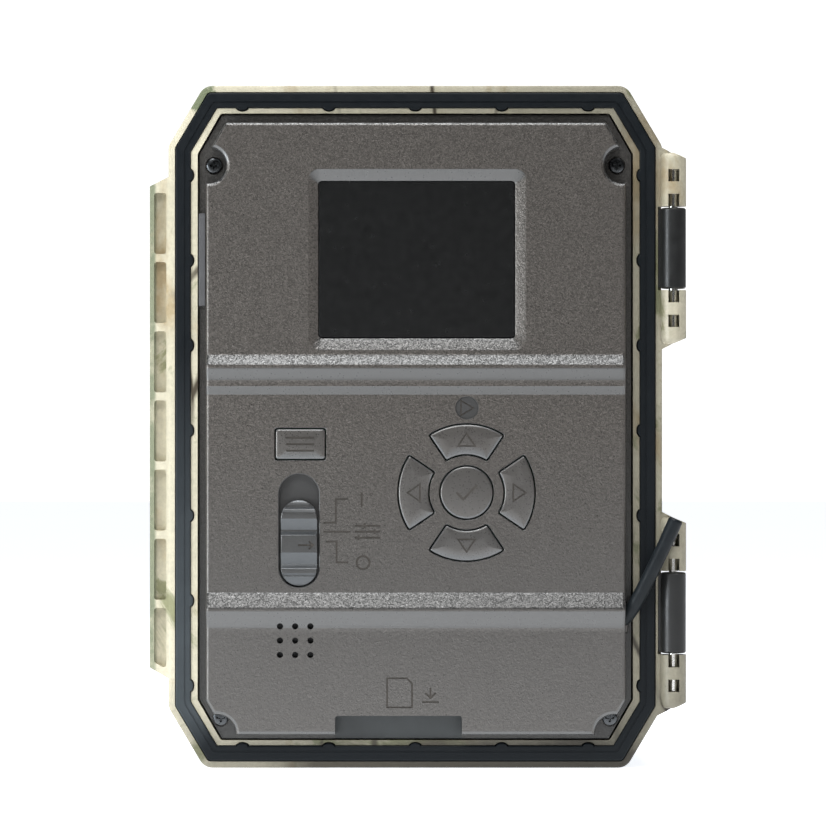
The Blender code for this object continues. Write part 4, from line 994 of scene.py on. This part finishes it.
def make_key(name):
    """A key cap with a softly crowned top and a deeper skirt."""
    gap = 0.25 * MM
    low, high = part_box("key_" + name)
    top = low[1]
    rise = CROWN[-1][1] * MM
    rings = [(key_outline(name, gap), high[1]), (key_outline(name, gap), top + rise)]
    spread = 2.08 if name == "ok" else 1.0
    for inset, height in CROWN[1:]:
        trim = inset * MM * (spread if inset > 0.5 else 1.0)
        rings.append((key_outline(name, gap + trim), top + rise - height * MM))
    key = loft("key_" + name + "_cap", rings)
    key.data.materials.append(KEYS)
    if name in ARC_MIDDLES:
        angle = ARC_MIDDLES[name]
        radius = (ARC_INNER + ARC_OUTER) / 2 - 0.1 * MM
        spot = (PAD.x + radius * math.cos(angle), PAD.z + radius * math.sin(angle))
        engrave(key, top, loops=[triangle(spot, 1.85, angle)], width=0.34 * MM, depth=0.22 * MM)
    elif name == "ok":
        tick = at((PAD.x, PAD.z), (-2.2, 0.1), (-0.7, -1.45), (2.3, 1.7))
        engrave(key, top, lines=[tick], width=0.46 * MM, depth=0.2 * MM)
    else:
        lines = [at((MENU.x, MENU.z), (-3.0, d), (3.0, d)) for d in (-1.4, 0.0, 1.4)]
        engrave(key, top, lines=lines, width=0.42 * MM, depth=0.24 * MM)
    finish(key, KEYS, "key_" + name, "keys", "key_" + name, angle=30)


def make_slider():
    """The knob: a shaped bar with two ridges and an arrow, riding in the track."""
    low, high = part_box("mode_slider")
    top, bottom = 58.35, 39.7
    lift = [
        (top, -0.15), (57.9, 0.2), (57.2, 0.4), (56.75, 0.42), (56.7, 0.2), (56.5, 0.2), (56.4, 0.42),
        (56.1, 0.5), (55.75, 0.62), (55.45, 0.68), (54.35, 0.68), (54.15, 0.6), (53.4, 0.18), (52.6, -0.2),
        (51.9, -0.4), (51.5, -0.3), (51.15, 0.1), (50.95, 0.45), (50.8, 0.68), (46.95, 0.68), (46.75, 0.5),
        (45.9, 0.05), (45.1, -0.3), (44.5, -0.4), (44.15, -0.2), (43.85, 0.2), (43.6, 0.52), (43.45, 0.66),
        (42.5, 0.66), (42.2, 0.6), (42.1, 0.35), (41.85, 0.35), (41.75, 0.52), (41.0, 0.38), (40.2, 0.05),
        (bottom, -0.3),
    ]
    flat, deep = PANEL_TOP_Y, PANEL_IN_Y - GAP
    section = [(flat - h * MM, z * MM) for z, h in lift] + [(deep, bottom * MM), (deep, top * MM)]
    knob = bar_x("knob", section, TRACK_X - 5 * MM, TRACK_X + 5 * MM)
    edge = [(t, low[1] + d * MM) for t, d in ((0.5, 0), (0.22, 0.08), (0.05, 0.22), (0, 0.4))] + [(0, deep)]
    rings = [(stadium((7.9 - t) * MM, (18.55 - t) * MM, TRACK_X, 49.05 * MM, 28), y) for t, y in edge]
    boolean(knob, loft("outline", rings), "INTERSECT")
    bevel(knob, 0.06 * MM, 1, 40)
    knob.data.materials.append(KNOB)
    arrow = (TRACK_X + 1.55 * MM, 48.6 * MM)
    shaft = at(arrow, (-1.7, 0.0), (1.5, 0.0))
    head = at(arrow, (0.6, 0.85), (1.6, 0.0), (0.6, -0.85))
    engrave(knob, flat - 0.68 * MM, lines=[shaft], width=0.4 * MM, depth=0.24 * MM)
    engrave(knob, flat - 0.68 * MM, lines=[head], width=0.36 * MM, depth=0.24 * MM)
    stem_x, stem_z = (TRACK_X - 1.0 * MM, TRACK_X + 1.0 * MM), (48.2 * MM, 50.0 * MM)
    join(knob, box("stem", stem_x, (deep - 0.2 * MM, high[1]), stem_z))
    finish(knob, KNOB, "mode_slider", "keys", "mode_slider", angle=26)


def make_display():
    low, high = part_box("display_window")
    levels = [(0.12 * MM, low[1]), (0, low[1] + 0.06 * MM), (0, high[1])]
    glass = pane("display_glass", low, high, 0.6 * MM, levels)
    finish(glass, SCREEN, "camera", "screen", "display_window", angle=50)


def make_screw(name):
    """A pan-head screw with a cross recess."""
    low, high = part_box("panel_screw_" + name)
    x, z = SCREWS[name].x, SCREWS[name].z
    radius = (high[0] - low[0]) / 2
    top, neck = low[1], low[1] + 1.2 * MM
    head = [(0, 0), (0.45, 0), (0.8, 0.04), (0.93, 0.16), (1.0, 0.4)]
    profile = [(r * radius, top + d * MM) for r, d in head]
    profile += [(radius, neck), (0.6 * radius, neck), (0.6 * radius, high[1] - 0.6 * MM), (0.0, high[1])]
    screw = turned("screw", profile, x, z, 40)
    for a, b in ((0.22, 0.98), (0.98, 0.22)):
        wide = rectangle(2 * a * MM, 2 * b * MM, x, z)
        narrow = rectangle(1.3 * a * MM, 1.3 * b * MM, x, z)
        cut(screw, loft("cross", [(wide, top - 0.3 * MM), (wide, top), (narrow, top + 0.7 * MM)]))
    finish(screw, SCREW, "camera", "steel", "panel_screw_" + name, angle=28)


def make_sleeve(name):
    """The black barrel between two knuckle blocks, with the heel that keeps it level."""
    node = "hinge_sleeve_" + name
    low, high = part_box(node)
    z_low, z_high = low[2], high[2]
    radius = 2.75 * MM
    shape = [(0.0, 0.0), (0.72, 0.0), (0.9, 0.06), (1.0, 0.35)]
    levels = [(r, z_low + d * MM) for r, d in shape] + [(r, z_high - d * MM) for r, d in reversed(shape)]
    sleeve = skin("sleeve_" + name, [hinge_ring(r * radius, z, 56) for r, z in levels])
    heel = rectangle(1.4 * MM, z_high - z_low - 0.6 * MM, HINGE_X - 2.5 * MM, (z_low + z_high) / 2)
    join(sleeve, slab("heel", rounded(heel, 0.3 * MM, 3), REAR_Y, REAR_Y + 0.9 * MM))
    ends = (HINGE_X, REAR_Y, z_low - OVERLAP), (HINGE_X, REAR_Y, z_high + OVERLAP)
    cut(sleeve, rod("bore", *ends, PIN_BORE))
    finish(sleeve, SLEEVE, node, "sleeve", node, angle=40)


def make_pins():
    for name in HINGES:
        low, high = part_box("hinge_pin_" + name)
        radius = (high[0] - low[0]) / 2
        ends = [(0.7, low[2]), (1.0, low[2] + 0.25 * MM), (1.0, high[2] - 0.25 * MM), (0.7, high[2])]
        pin = skin("pin_" + name, [hinge_ring(r * radius, z, 32) for r, z in ends])
        finish(pin, STEEL, "camera", "steel", "hinge_pin_" + name, angle=40)


def make_pad():
    low, high = (Vector(c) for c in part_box("side_pad"))
    wider = Vector((0.25 * MM, 0, 0))
    levels = [(0.2 * MM, low[1]), (0, low[1] + 0.15 * MM), (0, high[1])]
    pad = pane("pad", low - wider, high + wider, 0.2 * MM, levels, 3)
    finish(pad, FOAM_PAD, "camera", "foam", "side_pad")


# ---------------------------------------------------------------- the power lead

LEAD_POINTS = [
    (34.9, -18.9, 29.8), (37.6, -18.9, 29.8), (40.2, -19.1, 30.0), (42.7, -19.5, 30.7), (44.8, -20.2, 32.0),
    (46.5, -21.0, 33.9), (48.1, -21.7, 36.6), (49.8, -22.4, 39.9), (51.5, -22.9, 43.4), (53.2, -23.3, 47.0),
    (54.9, -23.6, 50.7), (56.45, -23.8, 54.2),
]
CONNECTOR_LENGTH, LEAD_RADIUS, CONNECTOR_RADIUS = 4.4 * MM, 1.55 * MM, 1.6 * MM


def lead_route(count):
    """Points spread evenly along a smooth curve through the lead's route."""
    points = [Vector(p) * MM for p in LEAD_POINTS]
    padded = [points[0] * 2 - points[1]] + points + [points[-1] * 2 - points[-2]]
    fine = []
    for a, b, c, d in zip(padded, padded[1:], padded[2:], padded[3:]):
        bend, twist = 2 * a - 5 * b + 4 * c - d, 3 * b - a - 3 * c + d
        for k in range(24):
            t = k / 24
            fine.append(0.5 * (2 * b + (c - a) * t + bend * t**2 + twist * t**3))
    fine.append(points[-1])
    lengths = [0.0]
    for a, b in zip(fine, fine[1:]):
        lengths.append(lengths[-1] + (b - a).length)
    out = []
    for k in range(count):
        goal = lengths[-1] * k / (count - 1)
        i = max(1, next(j for j, done in enumerate(lengths) if done >= goal - 1e-12))
        share = (goal - lengths[i - 1]) / max(1e-12, lengths[i] - lengths[i - 1])
        out.append(fine[i - 1].lerp(fine[i], share))
    return out, lengths[-1]


def tube(name, path, radii, sides=28):
    """A round tube along a path with one radius at each point."""
    side = Vector((0, 0, 1)).cross(path[1] - path[0]).normalized()
    angles = [2 * math.pi * k / sides for k in range(sides)]
    rows = []
    for i, point in enumerate(path):
        way = (path[min(i + 1, len(path) - 1)] - path[max(i - 1, 0)]).normalized()
        side = (side - way * side.dot(way)).normalized()
        other = way.cross(side)
        rows.append([point + (side * math.cos(a) + other * math.sin(a)) * radii[i] for a in angles])
    return skin(name, rows)


def make_lead():
    """The short lead to the door, ending in a plain round connector."""
    path, total = lead_route(160)
    step = total / (len(path) - 1)
    split = len(path) - 1 - int((CONNECTOR_LENGTH + 0.02 * MM) / step)
    lead = tube("lead", path[: split - 1], [LEAD_RADIUS] * (split - 1))
    finish(lead, LEAD, "camera", "lead", "power_lead", angle=40)
    tail = path[split - 2 :]
    radii = [CONNECTOR_RADIUS] * (len(tail) - 2)
    radii += [CONNECTOR_RADIUS - 0.06 * MM, CONNECTOR_RADIUS - 0.25 * MM]
    connector = tube("connector", tail, radii)
    finish(connector, LEAD, "camera", "lead", "lead_connector", angle=40)
    recolour("lead_saddle", PANEL)


# ---------------------------------------------------------------- the front side


def make_front():
    """The face plate, the flash window, the lens with its ring, the sensor dome and the two small eyes."""
    low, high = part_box("face_plate")
    near, far = low[1] - OVERLAP, high[1] + OVERLAP
    levels = [(0.35, low[1]), (0.35, high[1] - 0.35 * MM), (0.45, high[1] - 0.12 * MM), (0.75, high[1])]
    plate = loft("plate", [(face_outline(trim * MM), y) for trim, y in levels])
    ring_low, ring_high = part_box("lens_ring")
    cut(plate, along_y("lens", 0, LENS_Z, near, far, (ring_high[0] - ring_low[0]) / 2 - 1.0 * MM))
    for name in ("ir_window", "pir_dome", "status_light", "light_sensor"):
        a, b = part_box(name)
        x, z = (a[0] + b[0]) / 2, (a[2] + b[2]) / 2
        w, h = b[0] - a[0], b[2] - a[2]
        if name == "ir_window":
            hole = slab(name, rounded(rectangle(w + 0.6 * MM, h + 0.6 * MM, x, z), 2 * MM, 6), near, far)
        else:
            hole = along_y(name, x, z, near, far, w / 2 + 0.3 * MM, 64)
        cut(plate, hole)
    finish(plate, BLACK, "camera", "face", "face_plate", angle=30)
    low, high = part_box("ir_window")
    levels = [(0, low[1]), (0, high[1] - 0.25 * MM), (0.4 * MM, high[1])]
    finish(pane("window", low, high, 1.8 * MM, levels), SMOKED, "camera", "smoked", "ir_window", angle=30)

    lens = [(8.3, -1.3), (12.3, -1.3), (12.3, 1.4), (12.15, 1.75), (11.55, 3.1), (11.2, 3.4), (10.3, 3.4)]
    lens += [(9.6, 3.3), (9.3, 2.7), (9.3, 2.2), (8.9, 2.0), (8.9, 1.5), (8.6, 1.3), (8.3, 0.9)]
    lens_ring = turned("ring", from_face(lens), 0, LENS_Z, 96, loop=True)
    finish(lens_ring, BLACK, "camera", "face", "lens_ring", angle=30)
    curve = [(0, 0.6), (2, 0.57), (4, 0.46), (6, 0.22), (7.4, -0.06), (8.0, -0.2), (8.0, -1.2), (0, -1.2)]
    glass = turned("lens_front", from_face(curve), 0, LENS_Z, 72)
    finish(glass, LENS, "camera", "glass", "lens_glass", angle=30)
    make_dome()
    bulb = [(0, 0.7), (0.7, 0.64), (1.25, 0.44), (1.65, 0.12), (1.8, -0.3), (1.8, -3.6), (0, -3.6)]
    for name in ("status_light", "light_sensor"):
        eye = turned(name + "_bulb", from_face(bulb), middle(name).x, LENS_Z, 40)
        finish(eye, SMOKED, "camera", "smoked", name, angle=30)


def from_face(profile):
    """A profile in millimetres before the front face, in metres."""
    return [(r * MM, FRONT_SKIN_Y + y * MM) for r, y in profile]


def make_dome():
    """The motion sensor's milky dome, hollow and with a flange behind the plate."""
    outside = [(14.6, -2.9), (12.5, -2.9), (12.5, -0.6)]
    for k in range(1, 8):
        angle = math.radians(8 + 82 * k / 8)
        outside.append((12.5 * math.cos(angle) * 0.99, -0.6 + 7.2 * math.sin(angle)))
    inside = [(0, 5.4), (4.9, 4.3), (8.8, 1.7), (11.4, -0.9), (11.4, -4.2), (14.6, -4.2)]
    dome = turned("dome", from_face(outside + [(0.0, 6.58)] + inside), 0, PIR_Z, 96, loop=True)
    finish(dome, DOME, "camera", "dome", "pir_dome", angle=14)


# ---------------------------------------------------------------- nodes that keep their mesh

PLAIN = {
    BOARD: ("main_board", "card_board", "ir_led_board", "sensor_board", "pir_board"),
    CHIP: ("lcd_module", "processor", "image_sensor", "slide_switch", "speaker", "lead_header"),
    AMBER: ("lcd_ribbon",),
    STEEL: ("clock_cell", "card_socket", "pir_sensor"),
    BLACK: ("lens_barrel", "lens_holder"),
    LENS: ("ir_cut_filter",),
    BRASS: ("tripod_insert",),
}


def dress_nodes():
    """Gives the nodes that keep their mesh a material each."""
    for material, names in PLAIN.items():
        for name in names:
            recolour(name, material)
    for obj in bpy.data.objects:
        if obj.name.startswith("board_screw_"):
            recolour(obj.name, SCREW)
        if obj.name.startswith("key_switch_"):
            recolour(obj.name, CHIP)


def recolour(name, material):
    mesh = bpy.data.objects[name].data
    mesh.materials.clear()
    mesh.materials.append(material)


# ---------------------------------------------------------------- stage, camera, light


def area(name, place, aim, size, power, colour=(1, 1, 1)):
    lamp = bpy.data.lights.new(name, "AREA")
    lamp.shape = "RECTANGLE"
    lamp.size, lamp.size_y = size
    lamp.energy = power
    lamp.color = colour
    obj = bpy.data.objects.new(name, lamp)
    obj.location = place
    obj.rotation_euler = (Vector(aim) - Vector(place)).to_track_quat("-Z", "Y").to_euler()
    bpy.context.scene.collection.objects.link(obj)


def floor_sheet():
    """A pale floor that glows near the object and is dim towards the camera."""
    size = 3.0
    bm = bmesh.new()
    corners = [bm.verts.new((x * size, y * size, 0.0)) for x, y in ((-1, -1), (1, -1), (1, 1), (-1, 1))]
    bm.faces.new(corners)
    sheet = new_mesh("floor_sheet", bm)
    paint = Paint("floor_paint", (0.9, 0.9, 0.9), 0.6)
    tone = paint.range(paint.noise(3.0, 2), 0.3, 0.7)
    paint.use("Base Color", paint.mix(tone, (0.88, 0.88, 0.88), (0.92, 0.92, 0.92)))
    paint.set("Emission Color", (0.97, 1.0, 1.05, 1))
    depth = paint.split(paint.place)["Y"]
    paint.use("Emission Strength", paint.range(depth, -0.34, -0.18, FLOOR_DIM, FLOOR_GLOW))
    sheet.data.materials.append(paint.material)


FLOOR_GLOW, FLOOR_DIM = 0.86, 0.05


def world():
    """White behind the object, dim behind the camera, as in a small light tent."""
    made = bpy.data.worlds.new("tent")
    made.use_nodes = True
    tree = made.node_tree
    tree.nodes.clear()
    out = tree.nodes.new("ShaderNodeOutputWorld")
    seen = tree.nodes.new("ShaderNodeBackground")
    light = tree.nodes.new("ShaderNodeBackground")
    swap = tree.nodes.new("ShaderNodeMixShader")
    path = tree.nodes.new("ShaderNodeLightPath")
    seen.inputs["Color"].default_value = (1, 1, 1, 1)
    seen.inputs["Strength"].default_value = 1.15
    place = tree.nodes.new("ShaderNodeTexCoord")
    split = tree.nodes.new("ShaderNodeSeparateXYZ")
    tree.links.new(place.outputs["Generated"], split.inputs[0])
    depth = tree.nodes.new("ShaderNodeMapRange")
    height = tree.nodes.new("ShaderNodeMapRange")
    for made_range, source, low, high, to_low, to_high in (
        (depth, "Y", -0.9, 0.3, 0.022, 0.24),
        (height, "Z", -0.3, 1.0, 0.7, 1.15),
    ):
        tree.links.new(split.outputs[source], made_range.inputs["Value"])
        for socket, value in zip(RANGE_SOCKETS, (low, high, to_low, to_high)):
            made_range.inputs[socket].default_value = value
    level = tree.nodes.new("ShaderNodeMath")
    level.operation = "MULTIPLY"
    tree.links.new(depth.outputs["Result"], level.inputs[0])
    tree.links.new(height.outputs["Result"], level.inputs[1])
    tree.links.new(level.outputs[0], light.inputs["Strength"])
    tree.links.new(path.outputs["Is Camera Ray"], swap.inputs[0])
    tree.links.new(light.outputs[0], swap.inputs[1])
    tree.links.new(seen.outputs[0], swap.inputs[2])
    tree.links.new(swap.outputs[0], out.inputs["Surface"])
    bpy.context.scene.world = made


def set_stage():
    scene = bpy.context.scene
    camera = bpy.data.cameras.new("camera_eye")
    camera.lens, camera.sensor_width = 200, 36
    camera.clip_start, camera.clip_end = 0.01, 20
    eye = bpy.data.objects.new("camera_eye", camera)
    eye.location = (CAMERA_X, REAR_Y - VIEW_DISTANCE, CAMERA_Z)
    eye.rotation_euler = (math.pi / 2, 0, 0)
    scene.collection.objects.link(eye)
    scene.camera = eye
    scene.view_settings.view_transform = "Standard"
    scene.view_settings.look = "None"
    floor_sheet()
    world()
    middle_of_case = (0, REAR_Y, MID_Z)
    area("key", (-0.1, -0.52, 0.62), middle_of_case, (0.42, 0.2), 2.6)
    area("top", (-0.02, -0.12, 0.62), middle_of_case, (0.5, 0.25), 3.4)
    area("left", (-0.32, -0.22, 0.04), (-0.05, REAR_Y, 0.04), (0.14, 0.24), 1.15, (0.9, 0.96, 1.0))


CAMERA_X, CAMERA_Z, VIEW_DISTANCE = -0.0005, 0.0772, 0.998


make_case()
make_seal()
make_panel()
for key_name in KEY_NAMES:
    make_key(key_name)
make_slider()
make_display()
for screw_name in SCREWS:
    make_screw(screw_name)
for sleeve_name in HINGES:
    make_sleeve(sleeve_name)
make_pins()
make_pad()
make_lead()
make_front()
dress_nodes()
set_stage()
